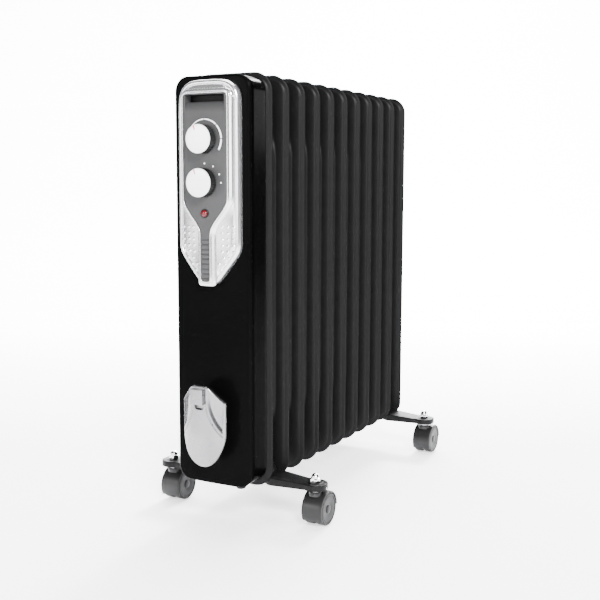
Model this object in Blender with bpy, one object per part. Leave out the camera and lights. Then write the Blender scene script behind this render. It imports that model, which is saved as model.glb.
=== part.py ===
"""Oil filled radiator heater, modelled as the separate pieces it is assembled from.

Metres, +Z up.  The control panel faces -Y and the oil filled fins stack towards +Y.
The origin is on the floor, under the centre of the whole heater.
"""
import math

import bmesh
import bpy
from mathutils import Matrix, Vector

MM = 0.001
GAP = 0.3 * MM                          # clearance between pieces that touch

# Casing and front panel
PANEL_WIDTH = 120.5 * MM
PANEL_HEIGHT = 562.4 * MM
PANEL_BOTTOM = 65.0 * MM
PANEL_CORNER = 20.0 * MM
PANEL_THICK = 3.0 * MM
PANEL_BOW = 3.0 * MM                    # forward bulge of the panel along its centre line
WRAP_DEPTH = 38.7 * MM
WRAP_WALL = 1.0 * MM
REAR_PLATE_AT = 38.0 * MM               # behind the panel's edge
REAR_PLATE_THICK = 1.2 * MM
REAR_PLATE_HOLE = 23.0 * MM
WRAP_SIDE_INSET = 0.25 * MM
WRAP_END_INSET = 1.0 * MM

# Fin stack
FIN_COUNT = 11
FIN_WIDTH = 127.2 * MM
FIN_HEIGHT = 580.0 * MM
FIN_BOTTOM = 54.4 * MM
FIN_CORNER = 26.0 * MM
FIN_PITCH = 47.9 * MM
FIRST_FIN = 49.4 * MM                   # behind the panel's edge
FLANGE_THICK = 2.4 * MM
SHEET = 1.2 * MM
CHAMBER_HALF = 44.0 * MM
CHAMBER_DEPTH = 9.0 * MM                # either side of the fin's middle plane
CHAMBER_SLOPE = 6.0 * MM
CHAMBER_LOW = 108.0 * MM                # above the fin's bottom, where the full width starts
CHAMBER_END = 25.0 * MM                 # radius of the chamber's round ends
HEADER_INSET = 51.0 * MM                # header centres, from the fin's bottom and top
HUB_RADIUS = 21.0 * MM
BORE_RADIUS = 16.5 * MM
END_HUB = 10.0 * MM                     # reach of a closed hub, from the fin's middle plane
PLUG_HOLE = 6.0 * MM
PLUG_SHANK = 8.0 * MM
PLUG_HEAD = 4.0 * MM
PLUG_HEAD_RADIUS = 9.0 * MM
ELEMENT_SPREAD = 8.0 * MM               # either leg of the hairpin, from the header's middle
ELEMENT_RADIUS = 3.5 * MM
ELEMENT_START = 24.0 * MM               # behind the panel's edge
ELEMENT_FLANGE = 19.0 * MM
ELEMENT_FLANGE_THICK = 3.0 * MM

# Control pod
BEZEL_HALF = 48.5 * MM
BEZEL_TOP = 621.0 * MM
BEZEL_CORNER = 27.0 * MM
BEZEL_SIDE_END = 392.0 * MM
BEZEL_TIP_HALF = 12.5 * MM
BEZEL_TIP = 346.0 * MM
BEZEL_BAND = 6.5 * MM                   # depth of the bezel's upright outer band
BEZEL_LEAN = 3.0 * MM                   # how far that band leans in
BEZEL_RIM = 1.4 * MM
BEZEL_WALL = 2.2 * MM
FASCIA_FACE = 16.5 * MM                 # in front of the panel's skin
FASCIA_THICK = 2.0 * MM
FASCIA_HALF = 34.5 * MM
FASCIA_TOP = 602.0 * MM
FASCIA_CORNER = 5.0 * MM
SHOULDER_TOP = 464.0 * MM
SHOULDER_END = 415.0 * MM
NECK_HALF = 7.0 * MM
NECK_END = 352.0 * MM
SLOT_HALF = 30.5 * MM
SLOT_LOW = 591.5 * MM
SLOT_HIGH = 600.5 * MM
WINDOW_HALF = 27.0 * MM
WINDOW_LOW = 432.0 * MM
WINDOW_HIGH = 604.0 * MM

# Controls
THERMOSTAT_Z = 542.0 * MM
SWITCH_Z = 484.5 * MM
LAMP_Z = 443.5 * MM
KNOB_RADIUS = 19.5 * MM
KNOB_HEIGHT = 15.5 * MM
KNOB_BASE = 20.0 * MM                   # in front of the panel's edge
KNOB_REST_DEG = -20.0                   # pointer, clockwise from straight up
SHAFT_RADIUS = 3.0 * MM
SHAFT_CLEARANCE = 0.4 * MM
KNOB_BORE_DEPTH = 10.8 * MM
KNOB_POINTER_HALF = 1.2 * MM
BUSH_RADIUS = 6.5 * MM
BODY_AT = 4.0 * MM                      # housings, behind the panel's edge
THERMOSTAT_BODY = (16.5 * MM, 14.5 * MM, 20.0 * MM)
SWITCH_BODY = (15.0 * MM, 13.0 * MM, 18.0 * MM)
LENS_RADIUS = 4.7 * MM
LENS_AT = 15.0 * MM                     # in front of the panel's edge

# Cord hook on the lower panel
HOOK_HALF = 33.4 * MM
HOOK_TOP = 211.0 * MM
HOOK_CORNER_Z = 188.0 * MM
HOOK_SIDE_END = 147.0 * MM
HOOK_BOTTOM = 96.3 * MM
HOOK_TOP_HALF = 11.5 * MM
HOOK_BACK = 17.5 * MM                   # in front of the panel's skin, at the plate's sides
HOOK_FRONT = 23.0 * MM
HOOK_BULGE = 12.0 * MM                  # how far the plate's middle stands out further
HOOK_BULGE_LOW = 3.0 * MM               # the same at its lower tip
HOOK_STRIPS = 8
POST_HALF = 15.0 * MM
POST_LOW = 150.0 * MM
POST_HIGH = 192.0 * MM
POST_CORNER = 14.0 * MM
CLIP_HALF = 10.0 * MM
CLIP_LOW = 187.0 * MM
CLIP_HIGH = 207.5 * MM
CLIP_FRONT = 31.0 * MM
CLIP_WALL = 1.8 * MM

# Wiring
GLAND_X = 30.0 * MM
GLAND_BEHIND = 22.0 * MM
GLAND_BORE = 3.6 * MM
GLAND_NECK = 5.9 * MM
GLAND_FLANGE = 8.5 * MM
LOOM_RADIUS = 2.8 * MM
CUTOUT_Z = 300.0 * MM

# Feet and casters
FOOT_SPREAD = 121.4 * MM                # caster stems, either side of the middle
PAD_RADIUS = 18.0 * MM
PAD_TOP = 64.5 * MM
CHANNEL_DEPTH = 8.5 * MM
BRACKET_SHEET = 2.0 * MM
SADDLE_TOP = 83.9 * MM
REAR_FOOT_SHIFT = -2.0 * MM             # the rear bracket sits forward in its gap
ROD_RADIUS = 2.5 * MM
WHEEL_RADIUS = 23.5 * MM
WHEEL_INNER = 2.6 * MM
WHEEL_OUTER = 15.7 * MM
HOOD_RADIUS = 26.3 * MM
HOOD_BORE = 24.3 * MM
HOOD_HALF = 16.0 * MM
HOOD_TOP = 52.0 * MM
AXLE_TRAIL = 13.0 * MM                  # the axle lies behind the stem
AXLE_RADIUS = 3.0 * MM
WHEEL_HUB = 8.0 * MM
STEM_RADIUS = 4.0 * MM
COLLAR_RADIUS = 8.0 * MM
BOSS_RADIUS = 9.0 * MM
BOSS_BOTTOM = 38.0 * MM
STEM_BOTTOM = 45.5 * MM
FENDER_START_DEG = -32
FENDER_STOP_DEG = 178
U_BOLT_RADIUS = HUB_RADIUS + ROD_RADIUS + 2 * GAP
U_BOLT_FOOT = 68.0 * MM

# Places worked out from the sizes above
FRONT_REACH = CLIP_FRONT + HOOK_BULGE + PANEL_BOW
REAR_REACH = FIRST_FIN + (FIN_COUNT - 1) * FIN_PITCH + END_HUB + GAP + PLUG_HEAD
PANEL_Y = (FRONT_REACH - REAR_REACH) / 2
PANEL_TOP = PANEL_BOTTOM + PANEL_HEIGHT
FIN_TOP = FIN_BOTTOM + FIN_HEIGHT
LOW_HEADER = FIN_BOTTOM + HEADER_INSET
HIGH_HEADER = FIN_TOP - HEADER_INSET

# Fineness
WHEEL_SIDES = 20
ROUND_SIDES = 16
BORE_SIDES = 12
CORNER_STEPS = 5
SHOULDER_STEPS = 6
NECK_STEPS = 3
FENDER_STEPS = 12

COLOURS = {
    "fin_enamel": ((0.045, 0.046, 0.049, 1), 0.38, 0.0),
    "casing_enamel": ((0.008, 0.008, 0.009, 1), 0.12, 0.0),
    "silver_plastic": ((0.62, 0.63, 0.65, 1), 0.32, 0.25),
    "grey_plastic": ((0.14, 0.14, 0.15, 1), 0.45, 0.0),
    "black_plastic": ((0.02, 0.02, 0.022, 1), 0.4, 0.0),
    "caster_plastic": ((0.035, 0.035, 0.038, 1), 0.35, 0.0),
    "lamp_red": ((0.6, 0.02, 0.02, 1), 0.15, 0.0),
    "bright_chrome": ((0.75, 0.76, 0.78, 1), 0.12, 1.0),
    "plain_steel": ((0.5, 0.5, 0.52, 1), 0.35, 1.0),
    "brass_part": ((0.75, 0.55, 0.25, 1), 0.35, 1.0),
    "cable_jacket": ((0.02, 0.02, 0.02, 1), 0.6, 0.0),
}


def in_front(distance):
    """World y of a point that far in front of the panel's edge."""
    return PANEL_Y - distance


def behind(distance):
    """World y of a point that far behind the panel's edge."""
    return PANEL_Y + distance


# Mesh helpers ---------------------------------------------------------------

def finished(bm):
    """Turn a bmesh into a mesh whose faces point out."""
    bmesh.ops.recalc_face_normals(bm, faces=bm.faces)
    mesh = bpy.data.meshes.new("piece")
    bm.to_mesh(mesh)
    bm.free()
    return mesh


def loft(rings, closed=False):
    """Skin over equal rings of points, capped at its ends or joined round to the first ring."""
    bm = bmesh.new()
    loops = [[bm.verts.new(point) for point in ring] for ring in rings]
    pairs = list(zip(loops, loops[1:]))
    if closed:
        pairs.append((loops[-1], loops[0]))
    for first, second in pairs:
        for i in range(len(first)):
            j = (i + 1) % len(first)
            bm.faces.new((first[i], first[j], second[j], second[i]))
    if not closed:
        bm.faces.new(loops[0])
        bm.faces.new(loops[-1])
    return finished(bm)


def lathe(profile, sides, closed=False):
    """Turn (radius, height) points about +Z.  A radius of 0 is a pole."""
    bm = bmesh.new()
    loops = []
    for radius, height in profile:
        if radius == 0:
            loops.append([bm.verts.new((0, 0, height))])
            continue
        angles = [2 * math.pi * i / sides for i in range(sides)]
        loops.append([bm.verts.new((radius * math.cos(a), radius * math.sin(a), height)) for a in angles])
    pairs = list(zip(loops, loops[1:]))
    if closed:
        pairs.append((loops[-1], loops[0]))
    for first, second in pairs:
        for i in range(sides):
            j = (i + 1) % sides
            if len(first) == 1:
                bm.faces.new((first[0], second[i], second[j]))
            elif len(second) == 1:
                bm.faces.new((first[i], first[j], second[0]))
            else:
                bm.faces.new((first[i], first[j], second[j], second[i]))
    return finished(bm)


def prism(outline, y_front, y_back):
    """Extrude an (x, z) outline along Y."""
    return loft([[(x, y, z) for x, z in outline] for y in (y_front, y_back)])


def box(low, high):
    """Rectangular block between two corners."""
    outline = [(low[0], low[2]), (high[0], low[2]), (high[0], high[2]), (low[0], high[2])]
    return prism(outline, low[1], high[1])


def rod(radius, start, end, sides=ROUND_SIDES):
    """Straight round bar between two points."""
    return tube([start, end], radius, sides)


def tube(points, radius, sides):
    """Round bar along a path, with flat ends."""
    points = [Vector(point) for point in points]
    rings = []
    side = None
    for i, point in enumerate(points):
        ahead = points[min(i + 1, len(points) - 1)] - points[max(i - 1, 0)]
        ahead.normalize()
        if side is None:
            side = ahead.orthogonal().normalized()
        side = (side - ahead * side.dot(ahead)).normalized()
        other = ahead.cross(side)
        angles = [2 * math.pi * k / sides for k in range(sides)]
        rings.append([point + radius * (side * math.cos(a) + other * math.sin(a)) for a in angles])
    return loft(rings)


def face_front(mesh):
    """Lay a turned piece down so that its +Z end looks towards -Y."""
    mesh.transform(Matrix.Rotation(math.radians(90), 4, "X"))
    return mesh


def boolean(body, tool, operation):
    """Exact boolean of two meshes."""
    target = bpy.data.objects.new("target", body)
    cutter = bpy.data.objects.new("cutter", tool)
    for obj in (target, cutter):
        bpy.context.collection.objects.link(obj)
    modifier = target.modifiers.new("cut", "BOOLEAN")
    modifier.operation = operation
    modifier.solver = "EXACT"
    modifier.object = cutter
    graph = bpy.context.evaluated_depsgraph_get()
    result = bpy.data.meshes.new_from_object(target.evaluated_get(graph))
    for obj in (target, cutter):
        bpy.data.objects.remove(obj, do_unlink=True)
    return result


def union(body, *tools):
    for tool in tools:
        body = boolean(body, tool, "UNION")
    return body


def cut(body, *tools):
    for tool in tools:
        body = boolean(body, tool, "DIFFERENCE")
    return body


def bowed(mesh, strips=6):
    """Bulge a flat piece forwards to follow the panel's bow."""
    half = PANEL_WIDTH / 2
    bm = bmesh.new()
    bm.from_mesh(mesh)
    for i in range(1, strips):
        x = -half + i * PANEL_WIDTH / strips
        everything = bm.verts[:] + bm.edges[:] + bm.faces[:]
        bmesh.ops.bisect_plane(bm, geom=everything, plane_co=(x, 0, 0), plane_no=(1, 0, 0), dist=1e-7)
    for vertex in bm.verts:
        vertex.co.y -= PANEL_BOW * max(0.0, 1 - (vertex.co.x / half) ** 2)
    bm.to_mesh(mesh)
    bm.free()
    return mesh


def rounded_rectangle(half, low, high, radius, steps=5):
    """(x, z) points round a rectangle with quarter-circle corners."""
    corners = [(half - radius, low + radius, -90), (half - radius, high - radius, 0),
               (radius - half, high - radius, 90), (radius - half, low + radius, 180)]
    points = []
    for x, z, start in corners:
        for i in range(steps + 1):
            angle = math.radians(start + 90 * i / steps)
            points.append((x + radius * math.cos(angle), z + radius * math.sin(angle)))
    return points


def mirrored(half_outline):
    """Complete a right-hand half outline, given from top to bottom on the middle line."""
    return half_outline + [(-x, z) for x, z in reversed(half_outline[1:-1])]


# Object helpers -------------------------------------------------------------

def finish(name):
    """Principled material of a named finish, made once."""
    found = bpy.data.materials.get(name)
    if found:
        return found
    colour, roughness, metallic = COLOURS[name]
    made = bpy.data.materials.new(name)
    made.use_nodes = True
    shader = made.node_tree.nodes["Principled BSDF"]
    shader.inputs["Base Color"].default_value = colour
    shader.inputs["Roughness"].default_value = roughness
    shader.inputs["Metallic"].default_value = metallic
    return made


def node(name, mesh, finish_name, at=(0, 0, 0)):
    """One named piece, shaded smooth away from its sharp edges."""
    if not mesh.materials:
        mesh.materials.append(finish(finish_name))
    mesh.materials[0] = finish(finish_name)
    mesh.shade_smooth()
    mesh.set_sharp_from_angle(angle=math.radians(35))
    obj = bpy.data.objects.new(name, mesh)
    obj.location = at
    bpy.context.collection.objects.link(obj)
    return obj


# Oil filled fins ------------------------------------------------------------

def chamber_outline(inset):
    """The oil chamber seen from the front: round ends at the headers, wide in between."""
    radius = CHAMBER_END - inset
    half = CHAMBER_HALF - inset
    low_side = FIN_BOTTOM + CHAMBER_LOW
    high_side = FIN_TOP - CHAMBER_LOW
    points = []
    for i in range(5):
        angle = math.radians(180 + 45 * i)
        points.append((radius * math.cos(angle), LOW_HEADER + radius * math.sin(angle)))
    points += [(half, low_side), (half, high_side)]
    for i in range(5):
        angle = math.radians(45 * i)
        points.append((radius * math.cos(angle), HIGH_HEADER + radius * math.sin(angle)))
    points += [(-half, high_side), (-half, low_side)]
    return points


def chamber(wall):
    """The chamber's solid, or its hollow when a wall thickness is taken off."""
    depth = CHAMBER_DEPTH - wall
    rings = []
    for y, inset in ((-depth, CHAMBER_SLOPE), (-1.5 * MM, 0), (1.5 * MM, 0), (depth, CHAMBER_SLOPE)):
        rings.append([(x, y, z) for x, z in chamber_outline(inset + wall)])
    return loft(rings)


def header(z, radius, front, back):
    return rod(radius, (0, -front, z), (0, back, z), BORE_SIDES)


def fin_mesh(front, back, low_front_open=True, high_front_open=True, back_open=True):
    """A hollow fin about its own middle plane; its hubs reach `front` and `back` from it."""
    half = FLANGE_THICK / 2
    outline = rounded_rectangle(FIN_WIDTH / 2, FIN_BOTTOM, FIN_TOP, FIN_CORNER, 3)
    body = union(prism(outline, -half, half), chamber(0))
    beyond = 2 * MM
    inside = chamber(SHEET)
    for z, front_open in ((LOW_HEADER, low_front_open), (HIGH_HEADER, high_front_open)):
        body = union(body, header(z, HUB_RADIUS, front, back))
        bore_front = front + beyond if front_open else front - SHEET
        bore_back = back + beyond if back_open else back - SHEET
        inside = union(inside, header(z, BORE_RADIUS, bore_front, bore_back))
    return cut(body, inside)


def make_fins():
    touching = FIN_PITCH / 2 - GAP / 2
    first = fin_mesh(END_HUB, touching, high_front_open=False)
    middle = fin_mesh(touching, touching)
    last = fin_mesh(touching, END_HUB, back_open=False)
    last = cut(last, rod(PLUG_HOLE, (0, 0, HIGH_HEADER), (0, 2 * END_HUB, HIGH_HEADER), BORE_SIDES))
    for i in range(FIN_COUNT):
        mesh = first if i == 0 else last if i == FIN_COUNT - 1 else middle
        node(f"fin_{i + 1:02d}", mesh, "fin_enamel", (0, behind(FIRST_FIN + i * FIN_PITCH), 0))


def make_heating_element():
    """Hairpin element in the lower header, on a round flange that closes the first fin."""
    spread = ELEMENT_SPREAD
    start = behind(ELEMENT_START)
    end = behind(FIRST_FIN + (FIN_COUNT - 2.5) * FIN_PITCH)
    path = [(spread, start, LOW_HEADER), (spread, end, LOW_HEADER)]
    for i in range(1, 6):
        angle = math.radians(30 * i)
        path.append((spread * math.cos(angle), end + spread * math.sin(angle), LOW_HEADER))
    path += [(-spread, end, LOW_HEADER), (-spread, start, LOW_HEADER)]
    flange_back = behind(FIRST_FIN - END_HUB - GAP)
    flange_front = flange_back - ELEMENT_FLANGE_THICK
    flange = rod(ELEMENT_FLANGE, (0, flange_front, LOW_HEADER), (0, flange_back, LOW_HEADER))
    node("heating_element", union(tube(path, ELEMENT_RADIUS, 8), flange), "plain_steel")


def make_filler_plug():
    """Hexagon plug that closes the filling hole in the last fin."""
    shank = rod(PLUG_HOLE - GAP, (0, -PLUG_SHANK, 0), (0, GAP + PLUG_HEAD / 2, 0), BORE_SIDES)
    head = rod(PLUG_HEAD_RADIUS, (0, GAP, 0), (0, GAP + PLUG_HEAD, 0), 6)
    back_face = behind(FIRST_FIN + (FIN_COUNT - 1) * FIN_PITCH + END_HUB)
    node("oil_filler_plug", union(shank, head), "brass_part", (0, back_face, HIGH_HEADER))


# Casing ---------------------------------------------------------------------

def make_casing():
    half = PANEL_WIDTH / 2 - WRAP_SIDE_INSET
    low = PANEL_BOTTOM + WRAP_END_INSET
    high = PANEL_TOP - WRAP_END_INSET
    front = behind(PANEL_THICK + GAP)
    back = front + WRAP_DEPTH
    outer = rounded_rectangle(half, low, high, PANEL_CORNER)
    wall = WRAP_WALL
    inner = rounded_rectangle(half - wall, low + wall, high - wall, PANEL_CORNER - wall)
    rings = [[(x, y, z) for x, z in outline] for outline, y in
             ((outer, front), (outer, back), (inner, back), (inner, front))]
    gland_y = behind(GLAND_BEHIND)
    beyond = 5 * MM
    hole_start = (GLAND_X, gland_y, low - beyond)
    hole = rod(GLAND_NECK + GAP, hole_start, (GLAND_X, gland_y, low + beyond), BORE_SIDES)
    node("casing_wrap", cut(loft(rings, closed=True), hole), "casing_enamel")

    inset = wall + GAP
    outline = rounded_rectangle(half - inset, low + inset, high - inset, PANEL_CORNER - inset)
    plate_back = behind(REAR_PLATE_AT + REAR_PLATE_THICK)
    plate = prism(outline, behind(REAR_PLATE_AT), plate_back)
    near = behind(REAR_PLATE_AT - beyond)
    opening = rod(REAR_PLATE_HOLE, (0, near, LOW_HEADER), (0, plate_back + beyond, LOW_HEADER))
    node("casing_rear_plate", cut(plate, opening), "casing_enamel")


def make_front_panel():
    outline = rounded_rectangle(PANEL_WIDTH / 2, PANEL_BOTTOM, PANEL_TOP, PANEL_CORNER)
    panel = prism(outline, behind(0), behind(PANEL_THICK))
    window = box((-WINDOW_HALF, in_front(10 * MM), WINDOW_LOW), (WINDOW_HALF, behind(10 * MM), WINDOW_HIGH))
    node("front_panel", bowed(cut(panel, window)), "casing_enamel")


# Control pod ----------------------------------------------------------------

def pod_half(half, top, corner, side_end, side_drop, tip_half, tip):
    """Right half of a pod outline; `side_drop(t)` runs from the side's end to the neck's start."""
    points = [(0, top)]
    for i in range(CORNER_STEPS + 1):
        angle = math.radians(90 - 90 * i / CORNER_STEPS)
        points.append((half - corner + corner * math.cos(angle), top - corner + corner * math.sin(angle)))
    points.append((half, side_end))
    points += [side_drop(i / SHOULDER_STEPS) for i in range(1, SHOULDER_STEPS + 1)]
    neck_x, neck_z = points[-1]
    for i in range(1, NECK_STEPS + 1):
        t = i / NECK_STEPS
        points.append((neck_x + (tip_half - neck_x) * t, neck_z + (tip - neck_z) * t))
    points.append((0, tip))
    return points


def bezel_outline(inset):
    """Outer shape of the pod: straight sides, then 45 degree tapers to a flat tip."""
    half = BEZEL_HALF - inset

    def side(t):
        return half, SHOULDER_TOP + (BEZEL_SIDE_END - SHOULDER_TOP) * t

    return mirrored(pod_half(half, BEZEL_TOP - inset, BEZEL_CORNER - inset / 2, SHOULDER_TOP, side,
                             BEZEL_TIP_HALF - inset / 2, BEZEL_TIP + inset))


def fascia_outline(grow):
    """The grey control plate: wide above, S-curved shoulders, narrow neck below."""
    half = FASCIA_HALF + grow
    neck = NECK_HALF + grow

    def shoulder(t):
        swing = t * t * (3 - 2 * t)
        return half + (neck - half) * swing, SHOULDER_TOP + (SHOULDER_END - SHOULDER_TOP) * t

    return mirrored(pod_half(half, FASCIA_TOP + grow, FASCIA_CORNER + grow, SHOULDER_TOP, shoulder,
                             neck, NECK_END - grow))


def at_depth(outline, distance):
    return [(x, in_front(distance), z) for x, z in outline]


def make_bezel():
    wall = BEZEL_WALL
    rings = [at_depth(bezel_outline(0), GAP),
             at_depth(bezel_outline(BEZEL_LEAN), BEZEL_BAND),
             at_depth(fascia_outline(BEZEL_RIM), FASCIA_FACE),
             at_depth(fascia_outline(GAP), FASCIA_FACE),
             at_depth(fascia_outline(GAP), FASCIA_FACE - wall),
             at_depth(bezel_outline(BEZEL_LEAN + wall), BEZEL_BAND - wall),
             at_depth(bezel_outline(wall), GAP)]
    node("control_bezel", bowed(loft(rings, closed=True)), "silver_plastic")


def make_fascia():
    rear = FASCIA_FACE - FASCIA_THICK
    plate = prism(fascia_outline(0), in_front(FASCIA_FACE), in_front(rear))
    near = in_front(FASCIA_FACE + 5 * MM)
    far = in_front(rear - 5 * MM)
    places = ((SHAFT_RADIUS + MM, THERMOSTAT_Z), (SHAFT_RADIUS + MM, SWITCH_Z), (LENS_RADIUS + GAP, LAMP_Z))
    holes = [rod(radius, (0, near, z), (0, far, z), BORE_SIDES) for radius, z in places]
    slot = box((-SLOT_HALF, near, SLOT_LOW), (SLOT_HALF, far, SLOT_HIGH))
    node("control_fascia", bowed(cut(plate, slot, *holes)), "grey_plastic")


def make_knob(prefix, z):
    """Push-on knob with a raised pointer, and the shaft that it turns."""
    bore = SHAFT_RADIUS + GAP
    bore_depth = KNOB_BORE_DEPTH
    top = KNOB_HEIGHT - 0.7 * MM
    grip = lathe([(0, bore_depth), (bore, bore_depth), (bore, 0), (KNOB_RADIUS - MM, 0), (KNOB_RADIUS, MM),
                  (KNOB_RADIUS - 0.5 * MM, top - 1.3 * MM), (KNOB_RADIUS - 2 * MM, top), (0, top)],
                 WHEEL_SIDES)
    half = KNOB_POINTER_HALF
    tip = KNOB_RADIUS - 2.5 * MM
    pointer = box((-half, -KNOB_HEIGHT, KNOB_RADIUS / 2), (half, 3 * MM - KNOB_HEIGHT, tip))
    knob = union(face_front(grip), pointer)
    knob.transform(Matrix.Rotation(math.radians(KNOB_REST_DEG), 4, "Y"))
    node(f"{prefix}_knob", knob, "silver_plastic", (0, in_front(KNOB_BASE), z))
    reach = KNOB_BASE + bore_depth - GAP + PANEL_THICK
    shaft = rod(SHAFT_RADIUS, (0, 0, 0), (0, -reach, 0), BORE_SIDES)
    node(f"{prefix}_shaft", shaft, "plain_steel", (0, behind(PANEL_THICK), z))


def make_control_body(name, z, size):
    """Switch or thermostat housing with the bush that carries its shaft, and its terminals' tab."""
    half_x, half_z, depth = size
    back = BODY_AT + depth
    housing = box((-half_x, behind(BODY_AT), z - half_z), (half_x, behind(back), z + half_z))
    bush_front = in_front(FASCIA_FACE - FASCIA_THICK + PANEL_BOW - 2 * GAP)
    bush = rod(BUSH_RADIUS, (0, bush_front, z), (0, behind(BODY_AT + 2 * MM), z), BORE_SIDES)
    bore_end = (0, behind(BODY_AT + 3 * MM), z)
    bore = rod(SHAFT_RADIUS + SHAFT_CLEARANCE, (0, bush_front - MM, z), bore_end, BORE_SIDES)
    tab = box((-half_x / 2, behind(back - MM), z - 3 * MM), (half_x / 2, behind(back + 5 * MM), z + 3 * MM))
    node(name, cut(union(housing, bush, tab), bore), "black_plastic")


def make_pilot():
    """Red lens through the fascia and the small lamp behind it."""
    seat = FASCIA_FACE + PANEL_BOW - LENS_AT + GAP
    flange = LENS_RADIUS + 1.1 * MM
    lens = lathe([(0, 0), (LENS_RADIUS, 0), (LENS_RADIUS, seat), (flange, seat), (flange, seat + 1.4 * MM),
                  (LENS_RADIUS - 0.5 * MM, seat + 3 * MM), (0, seat + 3.7 * MM)], ROUND_SIDES)
    node("pilot_lens", face_front(lens), "lamp_red", (0, in_front(LENS_AT), LAMP_Z))
    lamp = lathe([(0, 0), (3 * MM, 0), (3 * MM, 10.5 * MM), (1.8 * MM, 12.2 * MM), (0, 12.5 * MM)], 10)
    node("pilot_lamp", face_front(lamp), "lamp_red", (0, in_front(2 * MM), LAMP_Z))


def make_wiring():
    gland_y = behind(GLAND_BEHIND)
    foot = PANEL_BOTTOM + 0.7 * MM
    bore, neck, flange = GLAND_BORE, GLAND_NECK, GLAND_FLANGE
    gland = lathe([(bore, foot - 9 * MM), (neck, foot - 9 * MM), (flange, foot - 5 * MM), (flange, foot),
                   (neck, foot), (neck, foot + 8 * MM), (bore, foot + 8 * MM)], BORE_SIDES, closed=True)
    node("cord_gland", gland, "black_plastic", (GLAND_X, gland_y, 0))

    route = [(GLAND_X, gland_y, foot + 10 * MM), (GLAND_X, gland_y, 100 * MM),
             (38 * MM, behind(20 * MM), 140 * MM), (40 * MM, behind(18 * MM), 200 * MM),
             (40 * MM, behind(18 * MM), 380 * MM), (36 * MM, behind(18 * MM), 425 * MM),
             (20 * MM, behind(17 * MM), 448 * MM), (8 * MM, behind(16 * MM), 458 * MM),
             (5 * MM, behind(16 * MM), 467 * MM)]
    node("wiring_loom", tube(route, LOOM_RADIUS, 8), "cable_jacket")

    can = lathe([(0, 0), (9 * MM, 0), (9 * MM, 5 * MM), (6 * MM, 8 * MM), (0, 8 * MM)], BORE_SIDES)
    node("thermal_cutout", face_front(can), "plain_steel", (0, behind(REAR_PLATE_AT - GAP), CUTOUT_Z))


# Cord hook ------------------------------------------------------------------

def hook_outline(inset):
    """Shield shape: flat top, slanted shoulders, straight sides and a half-ellipse below."""
    half = HOOK_HALF - inset
    points = [(0, HOOK_TOP - inset), (HOOK_TOP_HALF - inset / 2, HOOK_TOP - inset),
              (half, HOOK_CORNER_Z - inset / 3)]
    drop = HOOK_SIDE_END - HOOK_BOTTOM - inset
    for i in range(9):
        angle = math.radians(90 * i / 8)
        points.append((half * math.cos(angle), HOOK_SIDE_END - drop * math.sin(angle)))
    points[-1] = (0, HOOK_BOTTOM + inset)
    return mirrored(points)


def bulged(mesh):
    """Push the middle of the hook's pieces forwards, in flat strips that all of them share."""
    strip = 2 * HOOK_HALF / HOOK_STRIPS
    planes = [((i * strip - HOOK_HALF, 0, 0), (1, 0, 0)) for i in range(1, HOOK_STRIPS)]
    planes += [((0, 0, z), (0, 0, 1)) for z in (HOOK_SIDE_END, (HOOK_SIDE_END + HOOK_BOTTOM) / 2)]
    bm = bmesh.new()
    bm.from_mesh(mesh)
    for place, normal in planes:
        everything = bm.verts[:] + bm.edges[:] + bm.faces[:]
        bmesh.ops.bisect_plane(bm, geom=everything, plane_co=place, plane_no=normal, dist=1e-7)
    for vertex in bm.verts:
        if PANEL_Y - vertex.co.y < HOOK_BACK / 2:
            continue
        inner = int(abs(vertex.co.x) / strip + 1e-4) * strip
        part = (abs(vertex.co.x) - inner) / strip
        near, far = (1 - (x / HOOK_HALF) ** 2 for x in (inner, inner + strip))
        rise = (vertex.co.z - HOOK_BOTTOM) / (HOOK_SIDE_END - HOOK_BOTTOM)
        height = HOOK_BULGE_LOW + (HOOK_BULGE - HOOK_BULGE_LOW) * min(1.0, max(0.0, rise))
        vertex.co.y -= height * (near + (far - near) * part)
    bm.to_mesh(mesh)
    bm.free()
    return mesh


def make_cord_hook():
    """Post and shield plate that the cord winds round, with a clip for its end."""
    post_outline = rounded_rectangle(POST_HALF, POST_LOW, POST_HIGH, POST_CORNER, 4)
    post = prism(post_outline, in_front(HOOK_BACK - GAP), in_front(GAP))
    node("cord_hook_post", bowed(bulged(post)), "black_plastic")
    round_off = 1.5 * MM
    rings = [at_depth(hook_outline(round_off), HOOK_BACK), at_depth(hook_outline(0), HOOK_BACK + round_off),
             at_depth(hook_outline(0), HOOK_FRONT - 2 * round_off),
             at_depth(hook_outline(2 * round_off), HOOK_FRONT)]
    node("cord_hook_plate", bowed(bulged(loft(rings))), "silver_plastic")
    back = HOOK_FRONT + GAP
    hood = box((-CLIP_HALF, in_front(CLIP_FRONT), CLIP_LOW), (CLIP_HALF, in_front(back), CLIP_HIGH))
    wall = CLIP_WALL
    pocket = box((wall - CLIP_HALF, in_front(CLIP_FRONT - wall), CLIP_LOW - wall),
                 (CLIP_HALF - wall, in_front(back - wall), CLIP_HIGH - wall))
    node("cord_clip", bowed(bulged(cut(hood, pocket))), "silver_plastic")


# Feet -----------------------------------------------------------------------

def bracket_solid(wall):
    """Cross bar from pad to pad, or the hollow under it when a wall is taken off."""
    stations = [(44, 12, SADDLE_TOP), (50, 17, 68 * MM), (60, 21, 67 * MM), (106, 17, PAD_TOP),
                (FOOT_SPREAD / MM, 16, PAD_TOP)]
    stations = [(-x, half, top) for x, half, top in reversed(stations)] + stations
    rings = []
    for x, half, top in stations:
        width = half * MM - wall
        high = top - wall
        low = PAD_TOP - CHANNEL_DEPTH - (2 * MM if wall else 0)
        corners = ((-width, low), (width, low), (width, high), (-width, high))
        rings.append([(x * MM, y, z) for y, z in corners])
    return loft(rings)


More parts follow.
